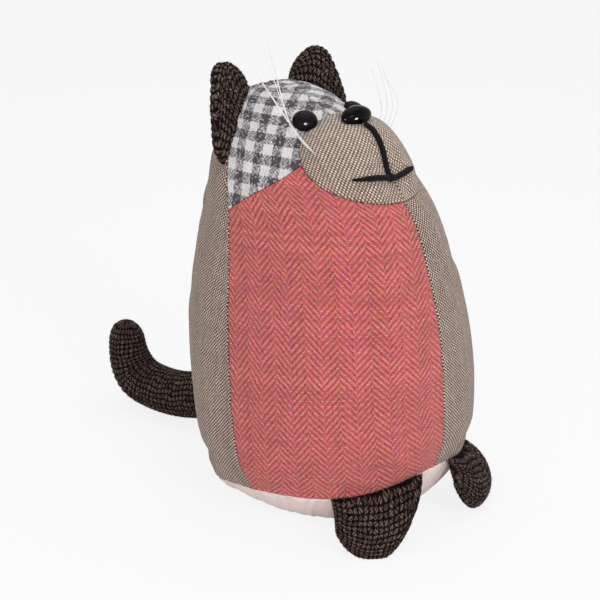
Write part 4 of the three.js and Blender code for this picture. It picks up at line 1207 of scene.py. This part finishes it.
def cloths():
    """The five thin cloths by slot name; pitches are real thread distances in millimetres."""
    # after the name: warp pitch, weft pitch, wander, bead, uneven dye, shade of the gaps and relief
    return {
        # woollen herringbone, 2/2 twill: coral ribs and tan ribs that zigzag up the chest
        "coral_herringbone": cloth_material(
            "coral_wool_herringbone", 1.0, 1.06, 0.8, 0.35, 0.34, 0.5, 0.4, herringbone_pattern),
        # woollen hopsack: light and dark dots, dull
        "taupe_hopsack": cloth_material(
            "taupe_wool_hopsack", 1.2, 1.2, 0.5, 0.8, 0.28, 0.42, 0.35, taupe_pattern),
        # cotton and linen gingham: soft matt checks of about 6 by 8 mm
        "grey_gingham": cloth_material(
            "grey_cotton_gingham", 0.535, 0.66, 1.2, 0.6, 0.24, 0.55, 0.25, gingham_pattern),
        # linen hopsack: cream dots in staggered rows
        "beige_hopsack": cloth_material(
            "beige_linen_hopsack", 1.15, 1.3, 0.4, 0.9, 0.28, 0.28, 0.4, beige_pattern),
        # fine plain cotton: almost even, threads just visible close up
        "base_cotton": cloth_material(
            "pale_plain_cotton", 0.5, 0.5, 0.3, 0.6, 0.06, 0.82, 0.12, cotton_pattern),
    }


def tweed_material():
    """Thick wool tweed in a basket weave: grey-brown lumps with painted shade, almost black, in the gaps
    and painted highlights on their plies, dull and hairy.
    """
    found = bpy.data.materials.get("brown_wool_tweed")
    if found:
        return found
    material, tree = empty_material("brown_wool_tweed")
    grid = add(tree, "ShaderNodeGroup", node_tree=thread_grid())
    fill_inputs(tree, grid, {"Warp pitch": TWEED_BLOCK[0], "Weft pitch": TWEED_BLOCK[1], "Wander": 0.4})
    lump = add(tree, MATH, [grid.outputs["Warp bulge"], grid.outputs["Weft bulge"]], operation="MULTIPLY")
    cell = add(tree, VECTOR, [grid.outputs["Warp"], grid.outputs["Weft"], 0.0])
    pick = add(tree, WHITE_NOISE, {"Vector": cell}, noise_dimensions="2D")
    strand = add(tree, NOISE, {
        "Vector": grid.outputs["Cloth"], "Scale": 0.62, "Detail": 5.0, "Roughness": 0.6})
    ragged = add(tree, MATH, [strand, 0.5], operation="SUBTRACT")
    edge = add(tree, MATH, [ragged, 2.2, lump], operation="MULTIPLY_ADD")
    # painted shade: the colour falls to the near-black gap colour where a lump sinks into the gap beside it
    gap_shade_mask = add(tree, RANGE, {0: edge, 1: 0.22, 2: 0.62, 3: 0.0, 4: 1.0},
               interpolation_type="SMOOTHSTEP")
    # plies: slanting strokes of painted highlight and shade that change their slant from lump to lump
    slant = add(tree, MATH, [plain_over(tree, grid.outputs), 2.0, -1.0], operation="MULTIPLY_ADD")
    leaning = add(tree, MATH, [grid.outputs["Across"], slant, grid.outputs["Along"]],
                  operation="MULTIPLY_ADD")
    turns = add(tree, MATH, [strand, 4.0], operation="MULTIPLY")
    phase = add(tree, MATH, [leaning, 10.0, turns], operation="MULTIPLY_ADD")
    wave = add(tree, MATH, [phase], operation="SINE")
    ply = add(tree, RANGE, {0: wave, 1: -0.8, 2: 0.9, 3: 0.12, 4: 1.1})
    tone = add(tree, MATH, [pick, 0.6, 0.35], operation="MULTIPLY_ADD")
    hairs = add(tree, NOISE, {"Vector": grid.outputs["Cloth"], "Scale": 2.6, "Detail": 3.0})
    spun = add(tree, RANGE, {0: hairs, 1: 0.3, 2: 0.7, 3: 0.35, 4: 1.3})
    first = add(tree, MATH, [gap_shade_mask.outputs[0], tone], operation="MULTIPLY")
    second = add(tree, MATH, [first, ply.outputs[0]], operation="MULTIPLY")
    factor = add(tree, MATH, [second, spun.outputs[0]], operation="MULTIPLY", use_clamp=True)
    tones = {6: tuple(colours().tweed_painted_shade), 7: tuple(colours().tweed_light)}
    mixed = add(tree, MIX, {0: factor, **tones}, data_type="RGBA")
    height = add(tree, MATH, [factor, 0.8, lump], operation="MULTIPLY_ADD")
    bump = add(tree, BUMP, {"Strength": 0.8, "Distance": 0.5 * MM, "Height": height})
    shader = add(tree, PRINCIPLED, {
        "Base Color": mixed.outputs[2], "Roughness": 0.95, "Specular IOR Level": 0.06, "Normal": bump})
    add(tree, OUTPUT, [shader])
    return material


def gloss_material():
    """Moulded black plastic of toy eyes: deep, polished, with the light mirrored small and sharp."""
    material, tree = empty_material("polished_black_plastic")
    place = add(tree, "ShaderNodeTexCoord")
    cloud = add(tree, NOISE, {"Vector": place.outputs["Object"], "Scale": 260.0, "Detail": 2.0})
    rough = add(tree, RANGE, {0: cloud, 1: 0.3, 2: 0.7, 3: 0.035, 4: 0.09})
    dust = add(tree, MIX, {0: cloud, 6: tuple(colours().gloss_black), 7: linear("050405")},
               data_type="RGBA")
    shader = add(tree, PRINCIPLED, {
        "Base Color": dust.outputs[2], "Roughness": rough.outputs[0], "IOR": 1.5,
        "Specular IOR Level": 0.05})
    add(tree, OUTPUT, [shader])
    return material


def yarn_material():
    """Soft black wool yarn: dull, its plies just lighter where they catch the light."""
    found = bpy.data.materials.get("black_wool_yarn")
    if found:
        return found
    material, tree = empty_material("black_wool_yarn")
    place = add(tree, "ShaderNodeTexCoord")
    fibre = add(tree, NOISE, {"Vector": place.outputs["Object"], "Scale": 1600.0, "Detail": 3.0})
    mixed = add(tree, MIX, {0: fibre, 6: tuple(colours().yarn_black), 7: linear("1A171A")},
                data_type="RGBA")
    bump = add(tree, BUMP, {"Strength": 0.7, "Distance": 0.25 * MM, "Height": fibre})
    shader = add(tree, PRINCIPLED, {
        "Base Color": mixed.outputs[2], "Roughness": 0.9, "Sheen Weight": 0.04, "Specular IOR Level": 0.15,
        "Normal": bump})
    add(tree, OUTPUT, [shader])
    return material


def bristle_material():
    """Drawn clear nylon bristle: pale, smooth, part of the light passes through."""
    material, tree = empty_material("clear_nylon_bristle")
    place = add(tree, "ShaderNodeTexCoord")
    streak = add(tree, NOISE, {"Vector": place.outputs["Object"], "Scale": 90.0, "Detail": 2.0})
    tone = add(tree, MIX, {0: streak, 6: linear("E4E4E6"), 7: linear("FAFAFA")}, data_type="RGBA")
    rough = add(tree, RANGE, {0: streak, 1: 0.3, 2: 0.7, 3: 0.18, 4: 0.3})
    shader = add(tree, PRINCIPLED, {
        "Base Color": tone.outputs[2], "Roughness": rough.outputs[0], "IOR": 1.53})
    add(tree, OUTPUT, [shader])
    return material


def filling_material(name, light, dark, scale):
    """Hidden filling: matt fibres or bag cloth with soft clumps."""
    material, tree = empty_material(name)
    place = add(tree, "ShaderNodeTexCoord")
    clump = add(tree, NOISE, {"Vector": place.outputs["Object"], "Scale": scale, "Detail": 6.0})
    tone = add(tree, MIX, {0: clump, 6: linear(dark), 7: linear(light)}, data_type="RGBA")
    bump = add(tree, BUMP, {"Strength": 0.5, "Distance": 1.0 * MM, "Height": clump})
    shader = add(tree, PRINCIPLED, {"Base Color": tone.outputs[2], "Roughness": 0.95, "Normal": bump})
    add(tree, OUTPUT, [shader])
    return material


# Geometry Nodes for stitches and loose fibres


def scatter_group(name, spacing):
    """A geometry group whose inputs are what it lies on, its spacing and the size of one thread."""
    group, given, result = group_of(
        name,
        [("Geometry", "NodeSocketGeometry", None), (spacing, "NodeSocketFloat", 1.0),
         ("Length", "NodeSocketFloat", 0.002), ("Thickness", "NodeSocketFloat", 0.0001),
         ("Seed", "NodeSocketInt", 1)],
        [("Geometry", "NodeSocketGeometry")], "GeometryNodeTree")
    return group, given.outputs, result


def scatter(group, result, points, thread, rotation, lean, material, space):
    """Puts a thread on every point, turned by a random lean, as real geometry in its material."""
    given = next(node for node in group.nodes if node.bl_idname == "NodeGroupInput")
    wobble = add(group, "FunctionNodeRandomValue", {
        0: tuple(-a for a in lean), 1: lean, "Seed": given.outputs["Seed"]}, data_type="FLOAT_VECTOR")
    extra = add(group, "FunctionNodeEulerToRotation", {0: wobble})
    final = add(group, "FunctionNodeRotateRotation", {"Rotation": rotation, "Rotate By": extra},
                rotation_space=space)
    placed = add(group, "GeometryNodeInstanceOnPoints", {
        "Points": points, "Instance": thread.outputs["Mesh"], "Rotation": final})
    real = add(group, "GeometryNodeRealizeInstances", {0: placed})
    coloured = add(group, "GeometryNodeSetMaterial", {"Geometry": real, "Material": material})
    group.links.new(coloured.outputs[0], result.inputs["Geometry"])


def stitch_tree(material):
    """Stitches along a curve: equal thread segments, each lying slightly across the seam."""
    group, take, result = scatter_group("seam_stitches", "Pitch")
    line = add(group, "GeometryNodeResampleCurve", {"Curve": take["Geometry"], "Length": take["Pitch"]},
               mode="LENGTH")
    stitch = add(group, "GeometryNodeMeshCylinder", {
        "Vertices": 6, "Side Segments": 3, "Radius": take["Thickness"], "Depth": take["Length"]},
        fill_type="TRIANGLE_FAN")
    tangent = add(group, "GeometryNodeInputTangent")
    turned = add(group, "FunctionNodeAlignRotationToVector", {"Vector": tangent}, axis="Z")
    scatter(group, result, line, stitch, turned, (0.25, 0.25, 0.25), material, "GLOBAL")
    return group


def fuzz_tree(material):
    """Loose fibres on a cloth: short tapered hairs at random places, leaning at random."""
    group, take, result = scatter_group("wool_fuzz", "Density")
    points = add(group, "GeometryNodeDistributePointsOnFaces", {
        "Mesh": take["Geometry"], "Density": take["Density"], "Seed": take["Seed"]},
        distribute_method="RANDOM")
    hair = add(group, "GeometryNodeMeshCone", {
        "Vertices": 3, "Side Segments": 1, "Radius Top": 0.00001,
        "Radius Bottom": take["Thickness"], "Depth": take["Length"]}, fill_type="NONE")
    scatter(group, result, points, hair, points.outputs["Rotation"], (1.1, 1.1, 3.1), material, "LOCAL")
    return group


def node_result(name, source, tree, values):
    """Runs a node tree on an object with the given inputs and returns its result as a plain mesh object."""
    modifier = source.modifiers.new("nodes", "NODES")
    modifier.node_group = tree
    for item in tree.interface.items_tree:
        if item.item_type == "SOCKET" and item.in_out == "INPUT" and item.name in values:
            modifier[item.identifier] = values[item.name]
    bpy.context.view_layer.update()
    solved = source.evaluated_get(bpy.context.evaluated_depsgraph_get())
    mesh = bpy.data.meshes.new_from_object(solved)
    mesh.name = name
    source.modifiers.remove(modifier)
    made = bpy.data.objects.new(name, mesh)
    bpy.context.scene.collection.objects.link(made)
    return made


def poly_curve(name, lines):
    """A curve object of plain lines, in metres."""
    data = bpy.data.curves.new(name, "CURVE")
    data.dimensions = "3D"
    for points in lines:
        spline = data.splines.new("POLY")
        spline.points.add(len(points) - 1)
        for target, p in zip(spline.points, np.asarray(points) * MM):
            target.co = (*p, 1.0)
    made = bpy.data.objects.new(name, data)
    bpy.context.scene.collection.objects.link(made)
    return made


def seam_lines():
    """The seams that show on the body, lying in their grooves."""
    up = np.linspace(0.005, 0.985, 160)
    chest = np.linspace(0.005, MUZZLE_LEVEL - MUZZLE_DOWN, 120)
    crown = np.linspace(MUZZLE_LEVEL + MUZZLE_UP, 0.985, 60)
    cheek = np.linspace(MUZZLE_ANGLE, 90, 60)
    places = [(RIGHT * 90.0, up), (LEFT * 90.0, up), (180.0, up), (0.0, chest), (0.0, crown)]
    places.append(muzzle_place(1, np.linspace(0, 360, 240)))
    places += [(side * cheek, head_seam(cheek)) for side in (RIGHT, LEFT)]
    seams = [np.broadcast_arrays(*place) for place in places]
    return [body(angle, level) - body_normal(angle, level) * STITCH_DEPTH for angle, level in seams]


# Trim


def dome_points(angle, level, wide, long, height, rows, sides, lower=1.0):
    """A polished dome with a flat back on the body, its lower half shorter by a share."""
    centre = body(angle, level)
    out = body_normal(angle, level)
    across = np.array([1.0, 0, 0])
    across = unit(across - out * dot(across, out))
    up = unit(np.cross(out, across))
    sit = max(float(swell(angle, level)), 0) + SEAM_GAP
    b = np.linspace(0, 2 * np.pi, sides, endpoint=False)
    climb = np.where(np.sin(b) * up[2] < 0, lower, 1) * np.sin(b)
    ring = np.cos(b)[:, None] * across * wide + climb[:, None] * up * long
    rings = [centre + out * (sit - 1.2) + ring * 0.0]
    for w, h in ((0.9, -1.2), (0.97, -0.3), (0.995, 0.35)):
        rings.append(centre + out * (sit + h) + ring * w)
    for j in range(rows + 1):
        a = np.pi / 2 * j / rows
        rings.append(centre + out * (sit + 1 + (height - 1) * np.sin(a)) + ring * np.cos(a))
    return np.array(rings)


def strand_rings(path, radius, plies, twist, sides, rows):
    """Plied yarn along a path: each ply a tube that winds round the middle line."""
    points, length = curve_points(path, rows)
    normal, binormal = frames_along(points)
    u = np.linspace(0, 1, rows)
    size = radius(u)
    made = []
    for k in range(plies):
        a = 2 * np.pi * (u * length / twist + k / plies)
        beside = normal * np.cos(a)[:, None] + binormal * np.sin(a)[:, None]
        middle = points + beside * (size * 0.24)[:, None]
        rings, _ = tube_points(middle, size * 0.78, sides)
        made.append(rings)
    return made


def capped_tubes(name, tubes):
    """One mesh of round tubes, closed at both ends."""
    points, faces = [], []
    offset = 0
    for rings in tubes:
        rows, sides = rings.shape[:2]
        closed = np.concatenate([
            np.repeat(rings[0].mean(axis=0)[None, None], sides, axis=1), rings,
            np.repeat(rings[-1].mean(axis=0)[None, None], sides, axis=1)])
        faces += grid_faces(rows + 2, sides, True, offset)
        points.append(closed.reshape(-1, 3))
        offset += (rows + 2) * sides
    made = mesh_object(name, np.concatenate(points), faces)
    return outward(made)


def rest_on_floor(piece):
    """Presses what would reach below the floor flat onto it."""
    co = np.empty(len(piece.data.vertices) * 3)
    piece.data.vertices.foreach_get("co", co)
    co[2::3] = np.maximum(co[2::3], 0.0)
    piece.data.vertices.foreach_set("co", co)
    piece.data.update()


def outward(piece):
    """Turns every face of a closed mesh outwards."""
    made = bmesh.new()
    made.from_mesh(piece.data)
    bmesh.ops.recalc_face_normals(made, faces=made.faces)
    made.to_mesh(piece.data)
    made.free()
    piece.data.update()
    return piece


def yarn_over(angle, level, lift):
    """Middle line of something laid on the skin, in the groove where there is one."""
    return skin(angle, level) + skin_normal(angle, level) * (lift - yarn_groove(angle, level))


def tweed_pair(word, shape, low, cloth_size):
    """Sews the right and the left one of a pair of padded tweed pieces; low is the first share across."""
    us = np.linspace(low, 1, int(cloth_size[0] / FINE_FACET))
    vs = np.linspace(0, 1, int(cloth_size[1] / FINE_FACET))
    for side, side_word in ((RIGHT, "right"), (LEFT, "left")):
        name = f"{side_word}_{word}"
        piece = two_faced(name + "_tweed", side, shape, name, us, vs)
        rest_on_floor(piece)
        finish_piece(piece, [name], tweed_material())


# Camera of the photograph, in millimetres, and the floor, in metres
CAMERA_LENS = 88.235
CAMERA_PLACE = (-657.69, -614.89, 460.48)
CAMERA_RIGHT = (0.70711, -0.70711, 0)
CAMERA_UP = (0.24184, 0.24184, 0.93969)
CAMERA_BACK = (-0.66446, -0.66446, 0.34202)
FLOOR_HALF = 6.0

# Lamps: place in metres, size and power
LAMPS = {
    "key_soft_box": ((-0.35, -1.25, 0.75), 0.55, 6.5),
    "fill_soft_box": ((-1.3, -0.35, 0.5), 0.6, 2.6),
    "top_soft_box": ((0.2, 0.1, 1.5), 1.2, 6.0),
    "eye_glint": ((-0.53, -0.64, 0.61), 0.34, 60.0),
    "nose_glint": ((0.16, -0.52, 0.07), 0.12, 10.0),
    "side_glint": ((-0.89, -0.07, 0.10), 0.22, 26.0),
}
GLINTS = ("eye_glint", "nose_glint", "side_glint")


def glossy_pieces(lamp_name):
    """The collection of the pieces that a small glint lamp lights."""
    name = "lit_by_" + lamp_name
    return bpy.data.collections.get(name) or bpy.data.collections.new(name)


# Operators


class StageOperator(bpy.types.Operator):
    """Sets up the camera of the photograph, the pale floor, the soft lamps and the white surroundings."""

    bl_idname = "door_stop.stage"
    bl_label = "Stage"

    def execute(self, context):
        scene = context.scene
        scene.view_settings.view_transform = "Standard"
        data = bpy.data.cameras.new("camera")
        data.lens = CAMERA_LENS
        data.sensor_width = 36.0
        data.clip_end = 20.0
        camera = bpy.data.objects.new("camera", data)
        scene.collection.objects.link(camera)
        turn = Matrix((CAMERA_RIGHT, CAMERA_UP, CAMERA_BACK)).transposed().to_4x4()
        camera.matrix_world = Matrix.Translation(Vector(CAMERA_PLACE) * MM) @ turn
        scene.camera = camera
        self.lamps(scene)
        self.world(scene)
        self.floor(scene)
        return {"FINISHED"}

    def lamps(self, scene):
        """Soft boxes in front and above, and small lamps that light only the eyes or the nose."""
        aim = Vector((0, 0, 0.14))
        for name, (place, size, power) in LAMPS.items():
            data = bpy.data.lights.new(name, "AREA")
            data.shape = "SQUARE"
            data.size = size
            data.energy = power
            lamp = bpy.data.objects.new(name, data)
            lamp.location = place
            lamp.rotation_euler = (aim - Vector(place)).to_track_quat("-Z", "Y").to_euler()
            scene.collection.objects.link(lamp)
            if name in GLINTS:
                lamp.light_linking.receiver_collection = glossy_pieces(name)

    def world(self, scene):
        """Even pale light; the camera and reflections see plain white."""
        world = bpy.data.worlds.new("white_room")
        scene.world = world
        world.use_nodes = True
        tree = world.node_tree
        tree.nodes.clear()
        soft = add(tree, "ShaderNodeBackground", {"Color": (1, 1, 1, 1), "Strength": 0.5})
        white = add(tree, "ShaderNodeBackground", {"Color": (1, 1, 1, 1), "Strength": 1.0})
        mixed = add(tree, "ShaderNodeMixShader", [plainly_seen(tree), soft, white])
        add(tree, "ShaderNodeOutputWorld", [mixed])

    def floor(self, scene):
        """A plain pale floor that keeps the shadow and meets the white background."""
        mesh = bpy.data.meshes.new("floor")
        corners = [(x * FLOOR_HALF, y * FLOOR_HALF, 0) for x, y in ((-1, -1), (1, -1), (1, 1), (-1, 1))]
        mesh.from_pydata(corners, [], [(0, 1, 2, 3)])
        floor = bpy.data.objects.new("floor", mesh)
        scene.collection.objects.link(floor)
        material, tree = empty_material("white_paper_sweep")
        share = add(tree, MATH, [plainly_seen(tree), 0.85], operation="MULTIPLY")
        paper = add(tree, "ShaderNodeBsdfDiffuse", {"Color": (0.88, 0.88, 0.88, 1)})
        glow = add(tree, "ShaderNodeEmission", {"Color": (1, 1, 1, 1), "Strength": 1.0})
        mixed = add(tree, "ShaderNodeMixShader", [share, paper, glow])
        add(tree, OUTPUT, [mixed])
        mesh.materials.append(material)


class BodyOperator(bpy.types.Operator):
    """Sews the eight stuffed panels of the body, the head and the muzzle."""

    bl_idname = "door_stop.body"
    bl_label = "Body panels"

    def execute(self, context):
        made = cloths()
        for name, (_, _, slot_name, _, _, _, _) in PANELS.items():
            finish_piece(sewn_panel(name), [name], made[slot_name])
        return {"FINISHED"}


class BaseOperator(bpy.types.Operator):
    """Sews the pale cotton base that holds the weight."""

    bl_idname = "door_stop.base"
    bl_label = "Base"

    def execute(self, context):
        finish_piece(base_cloth(), ["base_panel"], cloths()["base_cotton"])
        return {"FINISHED"}


class EarsOperator(bpy.types.Operator):
    """Sews the two padded tweed ears into the side seams."""

    bl_idname = "door_stop.ears"
    bl_label = "Ears"

    def execute(self, context):
        tweed_pair("ear", ear_shape, 0, EAR_CLOTH)
        return {"FINISHED"}


class PawsOperator(bpy.types.Operator):
    """Sews the two padded tweed paws into the base seam."""

    bl_idname = "door_stop.paws"
    bl_label = "Paws"

    def execute(self, context):
        tweed_pair("paw", paw_shape, -1, PAW_CLOTH)
        return {"FINISHED"}


class TailOperator(bpy.types.Operator):
    """Sews the stuffed tweed tail to the back of the body."""

    bl_idname = "door_stop.tail"
    bl_label = "Tail"

    def execute(self, context):
        rows, sides = TAIL_GRID
        rings, out, cloth = tail_shape(rows, sides)
        cloth = tweed_wander(cloth)
        move = moves()["tail"]
        wide = np.concatenate([move, move[:, :1]], axis=1)
        rings = rings + resampled(wide, np.linspace(0, 1, sides, endpoint=False), np.linspace(0, 1, rows))
        relief = (tweed_height(cloth) - 0.5) * sizes().tweed_relief / MM
        relief[-6:] *= 0.2
        rings = rings + out * relief[..., None]
        middle = np.repeat(rings[0].mean(axis=0)[None, None], sides, axis=1)
        tip = np.repeat(rings[-1].mean(axis=0)[None, None], sides, axis=1)
        points = np.concatenate([middle, rings, tip])
        cloth = np.pad(cloth, ((1, 1), (0, 0), (0, 0)), mode="edge")
        piece = outward(mesh_object("tail_tweed", points, grid_faces(rows + 2, sides, True), cloth))
        finish_piece(piece, ["tail"], tweed_material())
        return {"FINISHED"}


class FaceOperator(bpy.types.Operator):
    """Seats the domed eyes and the domed nose."""

    bl_idname = "door_stop.face"
    bl_label = "Eyes and nose"

    def execute(self, context):
        gloss = gloss_material()
        eye = (EYE_RADIUS, EYE_RADIUS, EYE_HEIGHT)
        nose = (NOSE_WIDTH / 2, NOSE_LENGTH / 2, NOSE_HEIGHT)
        right, left = EYE_SEAT[RIGHT], EYE_SEAT[LEFT]
        plan = (
            ("right_eye", (RIGHT * right[0], right[1]), eye, 1.0, GLINTS[:1]),
            ("left_eye", (LEFT * left[0], left[1]), eye, 1.0, GLINTS[:1]),
            ("nose", (0.0, NOSE_LEVEL), nose, NOSE_LOWER, GLINTS[1:]),
        )
        for name, seat, size, lower, lamp_names in plan:
            rings = dome_points(*seat, *size, DOME_ROWS, DOME_SIDES, lower)
            piece = outward(mesh_object(name + "_dome", rings, grid_faces(len(rings), DOME_SIDES, True)))
            finish_piece(piece, [name], gloss)
            for lamp_name in lamp_names:
                glossy_pieces(lamp_name).objects.link(piece)
        return {"FINISHED"}


class YarnOperator(bpy.types.Operator):
    """Lays the plied black yarn of the mouth and ties its knot."""

    bl_idname = "door_stop.yarn"
    bl_label = "Mouth yarn"

    def execute(self, context):
        r = sizes().yarn / MM / 2
        levels = np.linspace(NOSE_LEVEL - 0.026, MOUTH_LEVEL + 0.004, 14)
        line = [yarn_over(on_muzzle(yarn_shift(level), level), level, r * 0.9) for level in levels]
        tubes = strand_rings(line, lambda u: r * mix(0.85, 1, smooth(0, 0.2, u)), *YARN_PLIES, 90)
        piece = capped_tubes("philtrum_yarn_plies", tubes)
        finish_piece(piece, ["philtrum_yarn"], yarn_material())
        level = MOUTH_LEVEL + 0.001
        line = [yarn_over(on_muzzle(x, level), level, r * 0.95)
                for x in np.linspace(MOUTH_RIGHT, MOUTH_LEFT, 25)]

        def radius(u):
            return r * mix(0.55, 1.12, smooth(0, 0.3, u)) * mix(1, 0.8, smooth(0.93, 1, u))
        tubes = strand_rings(line, radius, *YARN_PLIES, 150)
        knot = yarn_over(on_muzzle(KNOT_SHIFT, MOUTH_LEVEL), MOUTH_LEVEL + 0.002, r * 1.2)
        turn = np.linspace(0, 2 * np.pi, 26)
        n = skin_normal(0.0, MOUTH_LEVEL)
        a = unit(np.cross(n, [1.0, 0, 0]))
        for shift, lean in ((-1.0, 0.5), (1.0, -0.4)):
            loop = knot + np.cos(turn)[:, None] * a * r * 1.05 + np.sin(turn)[:, None] * n * r * 0.85
            loop[:, 0] += shift + lean * np.sin(turn)
            rings, _ = tube_points(loop, np.full(len(loop), r * 0.55), 10)
            tubes.append(rings)
        piece = capped_tubes("mouth_yarn_plies", tubes)
        finish_piece(piece, ["mouth_yarn"], yarn_material())
        return {"FINISHED"}


class WhiskersOperator(bpy.types.Operator):
    """Sets the nylon whiskers into both cheeks."""

    bl_idname = "door_stop.whiskers"
    bl_label = "Whiskers"

    def execute(self, context):
        nylon = bristle_material()
        size = sizes().whisker / MM
        for side, word, reaches in ((RIGHT, "right", RIGHT_WHISKERS), (LEFT, "left", LEFT_WHISKERS)):
            tubes, nodes = [], []
            for order, (out, back, up) in enumerate(reaches):
                angle, level = muzzle_place(*(a + b * order for a, b in zip(WHISKER_ROOT, WHISKER_STEP)))
                root = yarn_over(angle, level, -1.5)
                surface = yarn_over(angle, level, size + SEAM_GAP)
                aside, behind, climb = (a + b * order for a, b in zip(WHISKER_BEND, WHISKER_FAN))
                bend = surface + np.array([-aside, behind, climb])
                tip = surface + np.array([-out, back, up])
                path = np.array([root, bend, tip]) * np.array([-side, 1, 1])
                points, _ = curve_points(path, 40)
                taper = size * mix(1.0, 0.75, np.linspace(0, 1, 40) ** 1.5)
                rings, _ = tube_points(points, taper, 8)
                tubes.append(rings)
                nodes.append(f"{word}_whisker_{order + 1}")
            finish_piece(capped_tubes(f"{word}_whiskers_nylon", tubes), nodes, nylon)
        return {"FINISHED"}


class StitchesOperator(bpy.types.Operator):
    """Runs small stitches along the seams of the patchwork."""

    bl_idname = "door_stop.stitches"
    bl_label = "Seam stitches"

    def execute(self, context):
        thread = filling_material("taupe_sewing_thread", "5F4E46", "3E312C", 900.0)
        seams = poly_curve("seam_lines", seam_lines())
        piece = node_result("seam_stitches", seams, stitch_tree(thread), {
            "Pitch": sizes().stitch_pitch, "Length": STITCH_LENGTH * MM,
            "Thickness": STITCH_THICKNESS * MM, "Seed": 3})
        bpy.data.objects.remove(seams)
        piece.data.shade_smooth()
        finish_piece(piece, [], thread)
        return {"FINISHED"}


class FuzzOperator(bpy.types.Operator):
    """Raises loose wool fibres on the tweed pieces."""

    bl_idname = "door_stop.fuzz"
    bl_label = "Wool fuzz"

    def execute(self, context):
        wool = filling_material("loose_wool_fibre", "5C4B43", "1E1613", 500.0)
        tree = fuzz_tree(wool)
        for name in ("right_ear", "left_ear", "right_paw", "left_paw", "tail"):
            source = bpy.data.objects[name + "_tweed"]
            piece = node_result(name + "_fuzz", source, tree, {
                "Density": FIBRE_DENSITY, "Length": sizes().fuzz_length,
                "Thickness": FIBRE_THICKNESS * MM, "Seed": sizes().fuzz_seed})
            rest_on_floor(piece)
            finish_piece(piece, [], wool)
        return {"FINISHED"}


class FillingOperator(bpy.types.Operator):
    """Gives the hidden filling and the weight bag their materials."""

    bl_idname = "door_stop.filling"
    bl_label = "Filling and weight"

    def execute(self, context):
        fibre = filling_material("polyester_fibre_fill", "F4F3EE", "D9D7D0", 240.0)
        bag = filling_material("calico_bag_cloth", "D8C9A9", "B39F7C", 700.0)
        for name, material in (("muzzle_filling", fibre), ("fibre_filling", fibre), ("sand_bag", bag)):
            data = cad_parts[name].data
            data.materials.clear()
            data.materials.append(material)
        return {"FINISHED"}


OPERATORS = (
    StageOperator, BodyOperator, BaseOperator, EarsOperator, PawsOperator, TailOperator, FaceOperator,
    YarnOperator, WhiskersOperator, StitchesOperator, FuzzOperator, FillingOperator)


class DoorStopPanel(bpy.types.Panel):
    """Sidebar panel with the sizes, the colours and one button for each step."""

    bl_idname = "VIEW3D_PT_door_stop"
    bl_label = "Door stop"
    bl_space_type = "VIEW_3D"
    bl_region_type = "UI"
    bl_category = "Door stop"

    def draw(self, context):
        for group in (context.scene.door_stop_sizes, context.scene.door_stop_colours):
            box = self.layout.box()
            for name in group.__annotations__:
                box.prop(group, name)
        for operator in OPERATORS:
            self.layout.operator(operator.bl_idname)


CLASSES = (SewingSizes, ClothColours, *OPERATORS, DoorStopPanel)


def register():
    for item in CLASSES:
        bpy.utils.register_class(item)
    bpy.types.Scene.door_stop_sizes = bpy.props.PointerProperty(type=SewingSizes)
    bpy.types.Scene.door_stop_colours = bpy.props.PointerProperty(type=ClothColours)


def unregister():
    del bpy.types.Scene.door_stop_colours
    del bpy.types.Scene.door_stop_sizes
    for item in reversed(CLASSES):
        bpy.utils.unregister_class(item)


def main():
    """Sews the whole door stop."""
    register()
    bpy.ops.door_stop.stage()
    bpy.ops.door_stop.body()
    bpy.ops.door_stop.base()
    bpy.ops.door_stop.ears()
    bpy.ops.door_stop.paws()
    bpy.ops.door_stop.tail()
    bpy.ops.door_stop.face()
    bpy.ops.door_stop.yarn()
    bpy.ops.door_stop.whiskers()
    bpy.ops.door_stop.stitches()
    bpy.ops.door_stop.fuzz()
    bpy.ops.door_stop.filling()


if __name__ == "__main__":
    main()
